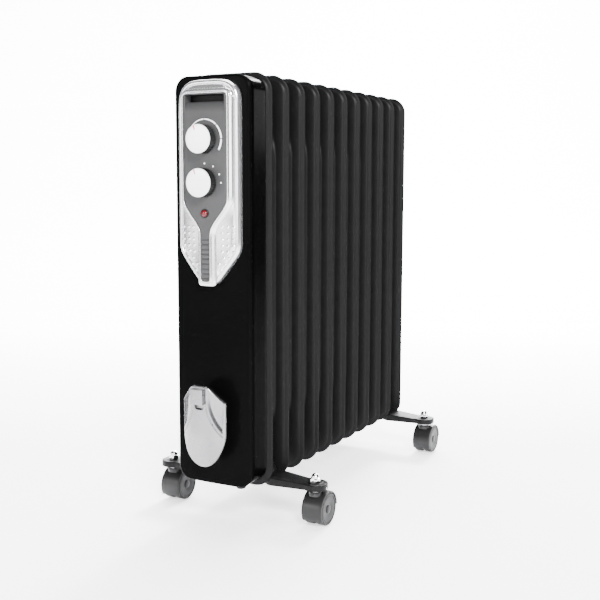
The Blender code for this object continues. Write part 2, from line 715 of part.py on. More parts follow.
def bracket_mesh():
    body = bracket_solid(0)
    hollow = bracket_solid(BRACKET_SHEET)
    low = PAD_TOP - CHANNEL_DEPTH
    for x in (-FOOT_SPREAD, FOOT_SPREAD):
        body = union(body, rod(PAD_RADIUS, (x, 0, low), (x, 0, PAD_TOP - 0.01 * MM)))
        ceiling = PAD_TOP - BRACKET_SHEET - 0.01 * MM
        pocket = rod(PAD_RADIUS - BRACKET_SHEET, (x, 0, low - 1 * MM), (x, 0, ceiling))
        hollow = union(hollow, pocket)
    body = cut(body, hollow)
    for x in (-FOOT_SPREAD, FOOT_SPREAD):
        body = cut(body, rod(STEM_RADIUS + MM, (x, 0, low), (x, 0, PAD_TOP + 5 * MM), BORE_SIDES))
    for x in (-U_BOLT_RADIUS, U_BOLT_RADIUS):
        body = cut(body, rod(ROD_RADIUS + GAP, (x, 0, U_BOLT_FOOT), (x, 0, SADDLE_TOP + 5 * MM), 10))
    return body


def u_bolt_mesh():
    """Round bar over the header, with both legs down through the saddle."""
    foot = U_BOLT_FOOT
    path = [(U_BOLT_RADIUS, 0, foot), (U_BOLT_RADIUS, 0, LOW_HEADER)]
    for i in range(1, 12):
        angle = math.radians(15 * i)
        path.append((U_BOLT_RADIUS * math.cos(angle), 0, LOW_HEADER + U_BOLT_RADIUS * math.sin(angle)))
    path += [(-U_BOLT_RADIUS, 0, LOW_HEADER), (-U_BOLT_RADIUS, 0, foot)]
    return tube(path, ROD_RADIUS, 8)


def wing_nut_mesh():
    """Nut with two finger wings, about the bolt's leg, hanging under the saddle."""
    top = SADDLE_TOP - BRACKET_SHEET - GAP
    barrel = rod(4.6 * MM, (0, 0, top - 6 * MM), (0, 0, top), BORE_SIDES)
    wings = box((-11 * MM, -0.9 * MM, top - 7 * MM), (11 * MM, 0.9 * MM, top - 2 * MM))
    bore = rod(ROD_RADIUS + GAP, (0, 0, top - 10 * MM), (0, 0, top + 5 * MM), 10)
    return cut(union(barrel, wings), bore)


def stem_mesh():
    """Caster stem: pivot pin below, thrust collar, threaded end above."""
    collar_low = HOOD_TOP + GAP
    collar_high = PAD_TOP - BRACKET_SHEET - GAP
    top = PAD_TOP + 7 * MM
    return lathe([(0, STEM_BOTTOM), (STEM_RADIUS, STEM_BOTTOM), (STEM_RADIUS, collar_low),
                  (COLLAR_RADIUS, collar_low), (COLLAR_RADIUS, collar_high), (STEM_RADIUS, collar_high),
                  (STEM_RADIUS, top), (0, top)], BORE_SIDES)


def cap_nut_mesh():
    """Domed hexagon nut with a blind bore."""
    base = PAD_TOP + GAP
    hexagon = rod(8 * MM, (0, 0, base), (0, 0, base + 6 * MM), 6)
    dome = lathe([(0, base + 1 * MM), (6.2 * MM, base + 1 * MM), (6.2 * MM, base + 7.5 * MM),
                  (5.2 * MM, base + 10.5 * MM), (3 * MM, base + 12.5 * MM), (0, base + 13.2 * MM)],
                 BORE_SIDES)
    bore = rod(STEM_RADIUS + GAP, (0, 0, base - 2 * MM), (0, 0, base + 8 * MM), BORE_SIDES)
    return cut(union(hexagon, dome), bore)


def hood_mesh():
    """Fender over both wheels with the web, axle and stem socket, about the stem's foot."""
    sweep = FENDER_STOP_DEG - FENDER_START_DEG
    outline = [(0, WHEEL_RADIUS)]
    for i in range(FENDER_STEPS + 1):
        angle = math.radians(180 - FENDER_START_DEG - sweep * i / FENDER_STEPS)
        outline.append((HOOD_RADIUS * math.cos(angle), WHEEL_RADIUS + HOOD_RADIUS * math.sin(angle)))
    rings = [[(x, AXLE_TRAIL + y, z) for y, z in outline] for x in (-HOOD_HALF, HOOD_HALF)]
    body = loft(rings)
    boss = rod(BOSS_RADIUS, (0, 0, BOSS_BOTTOM), (0, 0, HOOD_TOP), BORE_SIDES)
    body = union(body, boss)
    for side in (-1, 1):
        inner = (side * 2.0 * MM, AXLE_TRAIL, WHEEL_RADIUS)
        outer = (side * (HOOD_HALF + 3 * MM), AXLE_TRAIL, WHEEL_RADIUS)
        body = cut(body, rod(HOOD_BORE, inner, outer, WHEEL_SIDES))
    reach = WHEEL_OUTER - 3 * MM
    axle = rod(AXLE_RADIUS, (-reach, AXLE_TRAIL, WHEEL_RADIUS), (reach, AXLE_TRAIL, WHEEL_RADIUS), BORE_SIDES)
    spacer = WHEEL_INNER - GAP
    hub = rod(WHEEL_HUB, (-spacer, AXLE_TRAIL, WHEEL_RADIUS), (spacer, AXLE_TRAIL, WHEEL_RADIUS), BORE_SIDES)
    body = union(body, hub, axle)
    socket = rod(STEM_RADIUS + SHAFT_CLEARANCE, (0, 0, 30 * MM), (0, 0, HOOD_TOP + 5 * MM), BORE_SIDES)
    return cut(body, socket)


def wheel_mesh(side):
    """Dished wheel about its axle, open towards the web for a running bore."""
    bore = AXLE_RADIUS + SHAFT_CLEARANCE
    inner = WHEEL_INNER
    outer = WHEEL_OUTER
    profile = [(bore, inner), (WHEEL_RADIUS - MM, inner), (WHEEL_RADIUS, inner + MM),
               (WHEEL_RADIUS, outer - 2 * MM), (WHEEL_RADIUS - 2 * MM, outer), (12 * MM, outer - 1 * MM),
               (bore, outer - 1 * MM)]
    mesh = lathe(profile, WHEEL_SIDES, closed=True)
    mesh.transform(Matrix.Rotation(math.radians(90 * side), 4, "Y"))
    return mesh


def make_feet():
    gaps = {"front": behind(FIRST_FIN + FIN_PITCH / 2),
            "rear": behind(FIRST_FIN + (FIN_COUNT - 1.5) * FIN_PITCH) + REAR_FOOT_SHIFT}
    sides = {"left": -1, "right": 1}
    bracket = bracket_mesh()
    u_bolt = u_bolt_mesh()
    wing_nut = wing_nut_mesh()
    stem = stem_mesh()
    cap_nut = cap_nut_mesh()
    hood = hood_mesh()
    wheels = {side: wheel_mesh(sign) for side, sign in sides.items()}
    for end, y in gaps.items():
        node(f"{end}_foot_bracket", bracket, "casing_enamel", (0, y, 0))
        node(f"{end}_u_bolt", u_bolt, "plain_steel", (0, y, 0))
        for side, sign in sides.items():
            at = (sign * FOOT_SPREAD, y, 0)
            node(f"{end}_{side}_wing_nut", wing_nut, "plain_steel", (sign * U_BOLT_RADIUS, y, 0))
            node(f"{end}_{side}_caster_stem", stem, "plain_steel", at)
            node(f"{end}_{side}_cap_nut", cap_nut, "bright_chrome", at)
            node(f"{end}_{side}_caster_hood", hood, "caster_plastic", at)
            axle = (at[0], y + AXLE_TRAIL, WHEEL_RADIUS)
            for wheel_side, mesh in wheels.items():
                node(f"{end}_{side}_wheel_{wheel_side}", mesh, "caster_plastic", axle)


def main():
    for obj in list(bpy.data.objects):
        bpy.data.objects.remove(obj, do_unlink=True)
    make_fins()
    make_heating_element()
    make_filler_plug()
    make_casing()
    make_front_panel()
    make_bezel()
    make_fascia()
    make_knob("thermostat", THERMOSTAT_Z)
    make_knob("power", SWITCH_Z)
    make_control_body("thermostat_body", THERMOSTAT_Z, THERMOSTAT_BODY)
    make_control_body("power_switch_body", SWITCH_Z, SWITCH_BODY)
    make_pilot()
    make_wiring()
    make_cord_hook()
    make_feet()


main()
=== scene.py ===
"""Looks of the oil filled radiator heater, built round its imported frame.

Metres, +Z up, control panel towards -Y.  Every place is read from the frame's boxes.
"""
import math

import bmesh
import bpy
from mathutils import Matrix, Vector


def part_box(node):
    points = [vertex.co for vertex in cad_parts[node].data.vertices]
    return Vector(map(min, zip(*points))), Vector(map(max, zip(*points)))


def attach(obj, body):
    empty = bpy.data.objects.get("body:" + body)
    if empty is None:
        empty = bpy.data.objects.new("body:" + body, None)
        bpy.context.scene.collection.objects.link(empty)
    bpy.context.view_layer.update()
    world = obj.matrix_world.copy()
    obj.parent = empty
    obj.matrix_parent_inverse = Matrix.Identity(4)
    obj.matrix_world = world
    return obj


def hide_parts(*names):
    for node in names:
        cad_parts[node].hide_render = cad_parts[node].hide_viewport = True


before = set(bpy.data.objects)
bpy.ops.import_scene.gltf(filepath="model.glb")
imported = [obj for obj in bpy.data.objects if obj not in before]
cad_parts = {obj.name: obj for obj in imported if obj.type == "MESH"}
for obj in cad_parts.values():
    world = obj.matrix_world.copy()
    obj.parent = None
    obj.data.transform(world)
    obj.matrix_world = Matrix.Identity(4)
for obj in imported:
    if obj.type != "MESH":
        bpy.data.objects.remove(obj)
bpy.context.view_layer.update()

MM = 0.001
ROOT = "radiator"
SIDES = {"left": -1, "right": 1}
ENDS = ("front", "rear")


# Places read from the frame --------------------

def centre(node):
    low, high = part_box(node)
    return (low + high) / 2


panel_low, panel_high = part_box("front_panel")
PANEL_EDGE = 3.0 * MM  # depth of the panel's side
FACE_Y = panel_high.y - PANEL_EDGE  # plane of the panel's long edges
BOW = FACE_Y - panel_low.y  # how far its middle line stands in front of them
PANEL_HALF = panel_high.x
fin_low, fin_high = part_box("fin_05")
FIN_HALF = fin_high.x
FIN_PITCH = centre("fin_06").y - centre("fin_05").y
HUB_REACH = (fin_high.y - fin_low.y) / 2
LOW_HEADER = centre("heating_element").z
HIGH_HEADER = centre("oil_filler_plug").z
bezel_low, bezel_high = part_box("control_bezel")
fascia_low, fascia_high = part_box("control_fascia")
hook_low, hook_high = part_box("cord_hook_plate")
clip_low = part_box("cord_clip")[0]


# Mesh helpers ----------------------------------

WELD = 1e-6  # points closer than this are one


def smooth_step(t):
    t = min(1.0, max(0.0, t))
    return t * t * (3 - 2 * t)


def blend(a, b, t):
    return a + (b - a) * t


def in_mm(pairs):
    return [(a * MM, b * MM) for a, b in pairs]


class Shape:
    """Points and faces gathered into one mesh."""

    def __init__(self):
        self.points = []
        self.faces = []

    def ring(self, points):
        start = len(self.points)
        self.points += [tuple(point) for point in points]
        return list(range(start, len(self.points)))

    def bridge(self, first, second, around=True):
        count = len(first)
        for i in range(count if around else count - 1):
            j = (i + 1) % count
            self.faces.append((first[i], first[j], second[j], second[i]))

    def skin(self, rings, around=True, closed=False, caps=(False, False)):
        """Quads over equal rings; `closed` joins the last ring to the first one."""
        loops = [self.ring(points) for points in rings]
        for first, second in zip(loops, loops[1:]):
            self.bridge(first, second, around)
        if closed:
            self.bridge(loops[-1], loops[0], around)
        if caps[0]:
            self.faces.append(tuple(reversed(loops[0])))
        if caps[1]:
            self.faces.append(tuple(loops[-1]))
        return self

    def lathe(self, profile, sides, closed=False, flutes=None):
        """Turn (radius, height) about +Z; `flutes(angle, radius)` may change the radius."""
        rings = []
        for radius, height in profile:
            ring = []
            for i in range(sides):
                angle = 2 * math.pi * i / sides
                r = flutes(angle, radius) if flutes else radius
                ring.append((r * math.cos(angle), r * math.sin(angle), height))
            rings.append(ring)
        return self.skin(rings, closed=closed, caps=(not closed, not closed))

    def add(self, other, matrix=None):
        start = len(self.points)
        for point in other.points:
            self.points.append(tuple(matrix @ Vector(point)) if matrix else point)
        self.faces += [tuple(start + i for i in face) for face in other.faces]
        return self

    def mesh(self):
        made = bpy.data.meshes.new("piece")
        made.from_pydata(self.points, [], self.faces)
        bm = bmesh.new()
        bm.from_mesh(made)
        bmesh.ops.remove_doubles(bm, verts=bm.verts, dist=WELD)
        bmesh.ops.recalc_face_normals(bm, faces=bm.faces)
        bm.to_mesh(made)
        bm.free()
        return made


def turned(profile, sides=64, closed=False, flutes=None):
    return Shape().lathe(profile, sides, closed, flutes)


def tube(path, radius, sides=20):
    """Round bar along a path of points."""
    path = [Vector(point) for point in path]
    rings = []
    side = None
    for i, point in enumerate(path):
        ahead = (path[min(i + 1, len(path) - 1)] - path[max(i - 1, 0)]).normalized()
        side = ahead.orthogonal() if side is None else side
        side = (side - ahead * side.dot(ahead)).normalized()
        other = ahead.cross(side)
        angles = [2 * math.pi * k / sides for k in range(sides)]
        rings.append([point + radius * (side * math.cos(a) + other * math.sin(a)) for a in angles])
    return Shape().skin(rings, caps=(True, True))


def fillet(radius, steps=5):
    """(inset, drop) pairs of a quarter round, from the side wall up to the flat."""
    pairs = []
    for i in range(steps + 1):
        angle = math.pi / 2 * i / steps
        pairs.append((radius * (1 - math.cos(angle)), radius * (1 - math.sin(angle))))
    return pairs


SMALLEST_CORNER = 0.4 * MM


def rounded_ring(half_x, half_z, radius, inset, corner=8, long=40, short=10):
    """(x, z) points round a rectangle about its own middle, with quarter-circle corners."""
    r = max(radius - inset, SMALLEST_CORNER)
    hx = max(half_x - inset, r)
    hz = max(half_z - inset, r)
    points = []
    corners = ((hx - r, r - hz, -90), (hx - r, hz - r, 0), (r - hx, hz - r, 90), (r - hx, r - hz, 180))
    counts = (long, short, long, short)
    for (x, z, start), count in zip(corners, counts):
        for i in range(corner + 1):
            angle = math.radians(start + 90 * i / corner)
            points.append((x + r * math.cos(angle), z + r * math.sin(angle)))
        here = points[-1]
        turn = math.radians(start + 90)
        nx, nz = corners[(corners.index((x, z, start)) + 1) % 4][:2]
        there = (nx + r * math.cos(turn), nz + r * math.sin(turn))
        points += [(blend(here[0], there[0], k / count), blend(here[1], there[1], k / count))
                   for k in range(1, count)]
    return points


FACE_FRONT = Matrix.Rotation(math.radians(90), 4, "X")  # lays a turned piece's +Z towards -Y
FACE_BACK = Matrix.Rotation(math.radians(-90), 4, "X")
FACE_RIGHT = Matrix.Rotation(math.radians(90), 4, "Y")


# Materials -------------------------------------

def show(obj):
    bpy.context.scene.collection.objects.link(obj)


def put(node, **values):
    """Set input sockets by name, with _ for a space."""
    for name, value in values.items():
        node.inputs[name.replace("_", " ")].default_value = value


class Nodes:
    """Small helper that adds linked nodes to a material."""

    def __init__(self, name):
        self.material = bpy.data.materials.new(name)
        self.material.use_nodes = True
        self.tree = self.material.node_tree
        self.shader = self.tree.nodes["Principled BSDF"]
        self.place = self.add("ShaderNodeTexCoord").outputs["Object"]

    def add(self, kind, **settings):
        made = self.tree.nodes.new(kind)
        for key, value in settings.items():
            setattr(made, key, value)
        return made

    def link(self, output, target):
        self.tree.links.new(output, target)

    def noise(self, scale, detail=2.0, roughness=0.5, stretch=None):
        made = self.add("ShaderNodeTexNoise")
        put(made, Scale=scale, Detail=detail, Roughness=roughness)
        source = self.place
        if stretch:
            mapping = self.add("ShaderNodeMapping")
            put(mapping, Scale=stretch)
            self.link(source, mapping.inputs["Vector"])
            source = mapping.outputs["Vector"]
        self.link(source, made.inputs["Vector"])
        return made.outputs["Fac"]

    def span(self, value, low, high, start=0.3, end=0.7):
        made = self.add("ShaderNodeMapRange")
        put(made, From_Min=start, From_Max=end, To_Min=low, To_Max=high)
        self.link(value, made.inputs["Value"])
        return made.outputs["Result"]

    def mix(self, factor, first, second):
        made = self.add("ShaderNodeMix", data_type="RGBA")
        put(made, A=(*first, 1), B=(*second, 1))
        self.link(factor, made.inputs["Factor"])
        return made.outputs["Result"]

    def bump(self, height, distance, strength=1.0, under=None):
        made = self.add("ShaderNodeBump")
        put(made, Distance=distance, Strength=strength)
        self.link(height, made.inputs["Height"])
        if under:
            self.link(under, made.inputs["Normal"])
        return made.outputs["Normal"]


def colour_of(tone):
    """A colour as it is, or a nearly neutral grey for a number."""
    return tone if isinstance(tone, tuple) else (tone, tone, tone * 1.02)


def finish_of(name, dark, light, roughness, grain, grain_depth, *, patch=9.0, stretch=None,
              metallic=0.0, specular=0.5, coat=0.0, coat_roughness=0.05, peel=0.0):
    """One coated or moulded finish: patchy tone, varied roughness, fine grain and optional orange peel."""
    nodes = Nodes(name)
    shader = nodes.shader
    tone = nodes.span(nodes.noise(patch, 4.0, 0.55, stretch), 0.0, 1.0)
    nodes.link(nodes.mix(tone, colour_of(dark), colour_of(light)), shader.inputs["Base Color"])
    wear = nodes.noise(patch * 5, 5.0, 0.6, stretch)
    nodes.link(nodes.span(wear, roughness[0], roughness[1]), shader.inputs["Roughness"])
    normal = nodes.bump(nodes.noise(grain, 3.0, 0.6, stretch), grain_depth)
    if peel:
        normal = nodes.bump(nodes.noise(grain / 6, 1.0, 0.4), peel, 1.0, normal)
    nodes.link(normal, shader.inputs["Normal"])
    put(shader, Metallic=metallic, Specular_IOR_Level=specular, Coat_Weight=coat,
        Coat_Roughness=coat_roughness)
    return nodes.material


MATERIALS = {
    "panel": finish_of("gloss_black_enamel", 0.0009, 0.0014, (0.20, 0.26), 900, 0.000008, specular=0.012,
                       peel=0.00002),
    "wrap": finish_of("gloss_black_casing", 0.0006, 0.0009, (0.14, 0.20), 900, 0.000008, specular=0.003,
                      peel=0.00002),
    "fin": finish_of("charcoal_powder_coat", 0.0033, 0.0045, (0.36, 0.46), 1400, 0.00003, specular=0.07,
                     peel=0.00004),
    "bracket": finish_of("satin_black_enamel", 0.0026, 0.0038, (0.34, 0.44), 1300, 0.00003,
                         specular=0.10),
    "silver": finish_of("silver_paint", 0.60, 0.67, (0.17, 0.23), 2600, 0.000004, metallic=0.9,
                        specular=0.5, coat=0.1, coat_roughness=0.10),
    # The cord hook and its clip get a darker copy of the silver paint: painted shade over the whole hook.
    "shield": finish_of("silver_paint_painted_shade", 0.20, 0.23, (0.24, 0.30), 2600, 0.000004, metallic=0.97,
                        specular=0.4, coat=0.1, coat_roughness=0.15),
    "fascia": finish_of("grey_satin_plastic", 0.029, 0.034, (0.40, 0.50), 1500, 0.00004, specular=0.25),
    "grip": finish_of("black_grip_plastic", 0.0030, 0.0050, (0.30, 0.40), 1500, 0.00003, specular=0.2),
    "knob_face": finish_of("bright_knob_cap", 0.86, 0.92, (0.20, 0.28), 2200, 0.000008, metallic=0.15,
                           coat=0.4, stretch=(1, 1, 18)),
    "caster": finish_of("charcoal_nylon", 0.0085, 0.0110, (0.30, 0.40), 1600, 0.00003, specular=0.25),
    "wheel": finish_of("wheel_nylon", 0.0018, 0.0026, (0.38, 0.50), 1500, 0.00004, specular=0.2),
    "black": finish_of("moulded_black_plastic", 0.0016, 0.0026, (0.40, 0.55), 1200, 0.00004,
                       specular=0.1),
    "chrome": finish_of("polished_chrome", 0.74, 0.80, (0.06, 0.12), 1800, 0.000004, metallic=1.0),
    "steel": finish_of("zinc_plated_steel", 0.30, 0.42, (0.28, 0.42), 1700, 0.00002, metallic=1.0),
    "brass": finish_of("turned_brass", (0.62, 0.43, 0.17), (0.74, 0.54, 0.24), (0.22, 0.34), 1500,
                       0.00002, metallic=1.0),
    "print": finish_of("white_print", 0.80, 0.86, (0.40, 0.50), 2500, 0.00001),
    "red_print": finish_of("red_marking", (0.42, 0.014, 0.022), (0.52, 0.020, 0.030), (0.35, 0.45), 2500,
                           0.00001),
    "lens": finish_of("red_lamp_lens", (0.075, 0.002, 0.004), (0.12, 0.003, 0.006), (0.10, 0.16), 1500,
                      0.00001, patch=220, specular=0.3, coat=0.2),
    "sleeve": finish_of("woven_heat_sleeve", 0.012, 0.020, (0.60, 0.75), 1800, 0.0001),
}


def piece(name, mesh, material, body=ROOT, at=(0, 0, 0), nodes=(), sharp=38):
    """Put one finished mesh in place, riding on its body and standing for its CAD nodes."""
    if isinstance(mesh, Shape):
        mesh = mesh.mesh()
    if not mesh.materials:
        mesh.materials.append(MATERIALS[material])
        mesh.shade_smooth()
        mesh.set_sharp_from_angle(angle=math.radians(sharp))
    obj = bpy.data.objects.new(name, mesh)
    show(obj)
    obj.location = at
    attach(obj, body)
    if nodes:
        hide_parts(*nodes)
    return obj


FLAT_ENOUGH = math.radians(1.5)  # faces this close in direction are merged
EDGE_ANGLE = math.radians(32)  # edges sharper than this are rounded


def softened(node, material, width, name=None, body=ROOT):
    """A CAD node's own shape with its flat facets merged and its edges rounded."""
    bm = bmesh.new()
    bm.from_mesh(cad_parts[node].data)
    bmesh.ops.remove_doubles(bm, verts=bm.verts, dist=WELD)
    bmesh.ops.dissolve_limit(bm, angle_limit=FLAT_ENOUGH, verts=bm.verts, edges=bm.edges)
    mesh = bpy.data.meshes.new(node)
    bm.to_mesh(mesh)
    bm.free()
    obj = piece(name or f"{node}_finished", mesh, material, body, nodes=(node,))
    bevel = obj.modifiers.new("edges", "BEVEL")
    bevel.width = width
    bevel.segments = 3
    bevel.limit_method = "ANGLE"
    bevel.angle_limit = EDGE_ANGLE
    return obj


def bowed(shape):
    """Push a shape built in front of a flat panel out to follow the panel's bow."""
    moved = []
    for x, y, z in shape.points:
        moved.append((x, y - BOW * max(0.0, 1 - (x / PANEL_HALF) ** 2), z))
    shape.points = moved
    return shape


# Fins ------------------------------------------

FIN_CORNER = 26 * MM
SEAM = 5.0 * MM  # flat welded rim of the two pressed sheets
CHAMBER_HALF = 44 * MM
CHAMBER_END = 25 * MM
CHAMBER_RISE = 7.6 * MM
RIM_BEND = 4.0 * MM  # how far the fin's long edges lean back
LEAN_FROM = 45 * MM
RIM_ROUND = 1.2 * MM  # rounding of the cut edge
RIM_HALF = 1.1 * MM  # half thickness of the seam
RIM_STEP = 1.0 * MM  # rise of the sheet just inside the seam
SHEET_SWELL = 0.9 * MM  # slow rise from there towards the chamber
CHAMBER_FLARE = 58 * MM  # height over which the chamber widens beside a header
GROOVE_X = 15 * MM
GROOVE_HALF = 4.0 * MM
GROOVE_REACH = 150 * MM
GROOVE_DEPTH = 3.6 * MM
HUB = 21 * MM
HUB_ROOT = CHAMBER_END - 1 * MM
BORE = 16.5 * MM
OPEN_HUB = 15 * MM  # a hub that reaches at least this far joins a neighbour's
WELD_PROFILE = ((-1.0, -1.3), (-0.1, -1.1), (0.5, 0), (-0.1, 1.1), (-1.0, 1.3))
FIN_STEPS = (8, 58, 10)  # points on a corner, a long side and a short side
FIN_INSETS = (0.35, 1.0, 2.0, 4.9, 5.4, 5.9, 6.5, 9.0, 12.0, 15.0, 17.0, 18.2, 19.2, 20.2, 21.2, 22.4,
              24.0, 25.4, 27.0, 29.0, 32.0, 36.0, 40.0, 43.0, 45.0, 47.0, 49.0, 51.0, 53.0, 56.0, 60.0, 63.0)
COLLAR_PROFILE = ((24.0, 7.0), (23.2, 8.4), (21.8, 9.6), (21.0, 11.5))


def chamber_inside(x, z):
    """Distance inside the oil chamber's edge, negative outside."""
    middle = (LOW_HEADER + HIGH_HEADER) / 2
    beyond = abs(z - middle) - (HIGH_HEADER - LOW_HEADER) / 2
    if beyond > 0:
        return CHAMBER_END - math.hypot(x, beyond)
    half = blend(CHAMBER_END, CHAMBER_HALF, smooth_step(-beyond / CHAMBER_FLARE))
    return half - abs(x)


def groove_inside(x, z):
    """Distance inside the nearer of the two long grooves that part the oil channels."""
    middle = (LOW_HEADER + HIGH_HEADER) / 2
    beyond = max(0.0, abs(z - middle) - GROOVE_REACH)
    return GROOVE_HALF - math.hypot(abs(x) - GROOVE_X, beyond)


def sheet_height(x, z, inset):
    """Half thickness of the fin at a point."""
    edge = min(1.0, inset / RIM_ROUND)
    height = RIM_HALF * math.sqrt(1 - (1 - edge) ** 2)
    height += RIM_STEP * smooth_step((inset - SEAM) / (1.8 * MM))
    height += SHEET_SWELL * smooth_step((inset - SEAM) / (14 * MM))
    height += (CHAMBER_RISE - 2.0 * MM) * smooth_step(chamber_inside(x, z) / (5.5 * MM) + 0.35)
    height -= GROOVE_DEPTH * smooth_step(groove_inside(x, z) / GROOVE_HALF + 0.4)
    return height


def rim_lean(x):
    t = max(0.0, (abs(x) - LEAN_FROM) / (FIN_HALF - LEAN_FROM))
    return RIM_BEND * t * t


def fin_shape(front_hub, back_hub):
    """Two pressed sheets seamed at the rim, with raised oil channels and both header hubs."""
    half_z = (fin_high.z - fin_low.z) / 2
    mid_z = (fin_high.z + fin_low.z) / 2
    shape = Shape()
    edge = shape.ring([(x, rim_lean(x), z + mid_z) for x, z in
                       rounded_ring(FIN_HALF, half_z, FIN_CORNER, 0, *FIN_STEPS)])
    for side in (-1, 1):
        before = edge
        for inset in FIN_INSETS:
            inset *= MM
            ring = []
            for x, z in rounded_ring(FIN_HALF, half_z, FIN_CORNER, inset, *FIN_STEPS):
                z += mid_z
                ring.append((x, rim_lean(x) + side * sheet_height(x, z, inset), z))
            loop = shape.ring(ring)
            shape.bridge(before, loop)
            before = loop
        shape.faces.append(tuple(before))
    collar = in_mm(COLLAR_PROFILE)
    for z in (LOW_HEADER, HIGH_HEADER):
        for reach, matrix in ((front_hub, FACE_FRONT), (back_hub, FACE_BACK)):
            place = Matrix.Translation((0, 0, z)) @ matrix
            if reach < OPEN_HUB:
                cap = [(HUB_ROOT, 6.8 * MM), (22.6 * MM, 8.2 * MM), (HUB, reach - 1.0 * MM),
                       (HUB - 0.8 * MM, reach), (7 * MM, reach), (0.5 * MM, reach)]
                shape.add(turned(cap, 40), place)
            else:
                neck = collar + [(HUB, reach - 1.6 * MM), (HUB - 0.5 * MM, reach - 0.5 * MM),
                                 (HUB - 1.2 * MM, reach), (BORE, reach), (BORE, 7 * MM)]
                shape.add(turned(neck, 40, closed=True), place)
    return shape


def make_fins():
    end_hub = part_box("fin_11")[1].y - centre("fin_10").y - FIN_PITCH
    meshes = {"first": fin_shape(end_hub, HUB_REACH).mesh(),
              "middle": fin_shape(HUB_REACH, HUB_REACH).mesh(),
              "last": fin_shape(HUB_REACH, end_hub).mesh()}
    middle_y = centre("fin_05").y
    for i in range(1, 12):
        kind = {1: "first", 11: "last"}.get(i, "middle")
        name = f"fin_{i:02d}"
        fin_y = middle_y + (i - 5) * FIN_PITCH
        piece(f"{name}_pressed", meshes[kind], "fin", at=(0, fin_y, 0), nodes=(name,))
    bead = [(HUB + rise, y) for rise, y in in_mm(WELD_PROFILE)]
    for i in range(1, 11):
        seam_y = middle_y + (i - 4.5) * FIN_PITCH
        for label, z in (("low", LOW_HEADER), ("high", HIGH_HEADER)):
            weld = Shape().add(turned(bead, 48, closed=True), FACE_FRONT)
            piece(f"header_weld_{label}_{i:02d}", weld, "fin", at=(0, seam_y, z))


# Casing ----------------------------------------

PANEL_CORNER = 20 * MM
PANEL_ROUND = 3.4 * MM  # rounding between the panel's face and its side
PANEL_SKIN = 2 * MM
PANEL_INSETS = (5, 8, 12, 17, 24, 32, 40, 48, 55, 59.5)
PANEL_STEPS = (12, 30, 12)  # points on a corner, a long side and a short side
WRAP_WALL = 1.0 * MM
WRAP_LIP = 5 * MM
WRAP_ROUND = 1.6 * MM


def panel_rings(stations, half, low, high, corner):
    """Rings of a rounded rectangle for (inset, y) stations."""
    rings = []
    for inset, y in stations:
        mid_z = (low + high) / 2
        ring = rounded_ring(half, (high - low) / 2, corner, inset, *PANEL_STEPS)
        rings.append([(x, y, z + mid_z) for x, z in ring])
    return rings


def make_panel():
    back_y = FACE_Y + PANEL_EDGE
    inside_y = FACE_Y + PANEL_SKIN
    stations = [(2.2 * MM, back_y), (0.3 * MM, back_y), (0, back_y - 0.4 * MM)]
    for inset, drop in fillet(PANEL_ROUND, 7):
        stations.append((inset, FACE_Y + min(drop, PANEL_EDGE - 0.5 * MM)))
    stations += [(inset * MM, FACE_Y) for inset in PANEL_INSETS]
    outline = (PANEL_HALF, panel_low.z, panel_high.z, PANEL_CORNER)
    shape = Shape().skin(panel_rings(stations, *outline), caps=(False, True))
    stations = [(2.2 * MM, back_y), (2.6 * MM, inside_y), (30 * MM, inside_y), (59.5 * MM, inside_y)]
    shape.skin(panel_rings(stations, *outline), caps=(False, True))
    piece("front_panel_shell", bowed(shape), "panel", nodes=("front_panel",), sharp=50)


def make_wrap():
    low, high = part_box("casing_wrap")
    front, back = low.y, high.y
    stations = [(WRAP_WALL, front + 0.2 * MM), (0.4 * MM, front), (0, front + 0.5 * MM)]
    stations += [(0, blend(front, back, t)) for t in (0.2, 0.4, 0.6, 0.8)]
    stations += [(inset, back - drop) for inset, drop in fillet(WRAP_ROUND, 5)]
    stations += [(WRAP_LIP, back), (WRAP_LIP + 0.4 * MM, back - 0.4 * MM), (WRAP_LIP, back - WRAP_WALL),
                 (WRAP_ROUND, back - WRAP_WALL), (WRAP_WALL, back - WRAP_ROUND),
                 (WRAP_WALL, blend(front, back, 0.5))]
    rings = panel_rings(stations, high.x, low.z, high.z, PANEL_CORNER)
    piece("casing_wrap_shell", Shape().skin(rings, closed=True), "wrap", nodes=("casing_wrap",), sharp=50)


# Control pod -----------------------------------

FASCIA_TOP = fascia_high.z
SHOULDER_TOP = 464 * MM
SHOULDER_END = 415 * MM
NECK_END = fascia_low.z
NECK_HALF = 7 * MM
FASCIA_HALF = fascia_high.x
BEZEL_HALF = bezel_high.x
BEZEL_CORNER = 27 * MM
TAPER_START = 392 * MM
TIP_HALF = 12.5 * MM
FASCIA_CORNER = 5 * MM
FASCIA_FACE = 15.6 * MM  # how far the fascia stands in front of the panel
KNOB_Z = {"thermostat": centre("thermostat_shaft").z, "power": centre("power_shaft").z}
LAMP_Z = centre("pilot_lens").z


def pod_half(half, top, corner, drop, tip_half, tip):
    """Right half of a pod outline from the top middle to the bottom middle."""
    points = [(half * 0.35 * k / 3, top) for k in range(3)]
    for i in range(15):
        angle = math.radians(90 - 90 * i / 14)
        points.append((half - corner + corner * math.cos(angle), top - corner + corner * math.sin(angle)))
    side_from = top - corner
    points += [(half, blend(side_from, SHOULDER_TOP, k / 14)) for k in range(1, 15)]
    points += [drop(k / 22) for k in range(1, 23)]
    neck_x, neck_z = points[-1]
    points += [(blend(neck_x, tip_half, k / 16), blend(neck_z, tip, k / 16)) for k in range(1, 17)]
    points += [(tip_half * (1 - k / 4), tip) for k in range(1, 5)]
    return points


def relaxed(points, passes):
    """Round an outline's corners by averaging neighbours."""
    for _ in range(passes):
        count = len(points)
        points = [tuple((points[i - 1][k] + 2 * points[i][k] + points[(i + 1) % count][k]) / 4
                        for k in (0, 1))
                  for i in range(count)]
    return points


def both_halves(half_points):
    return half_points + [(-x, z) for x, z in reversed(half_points[1:-1])]


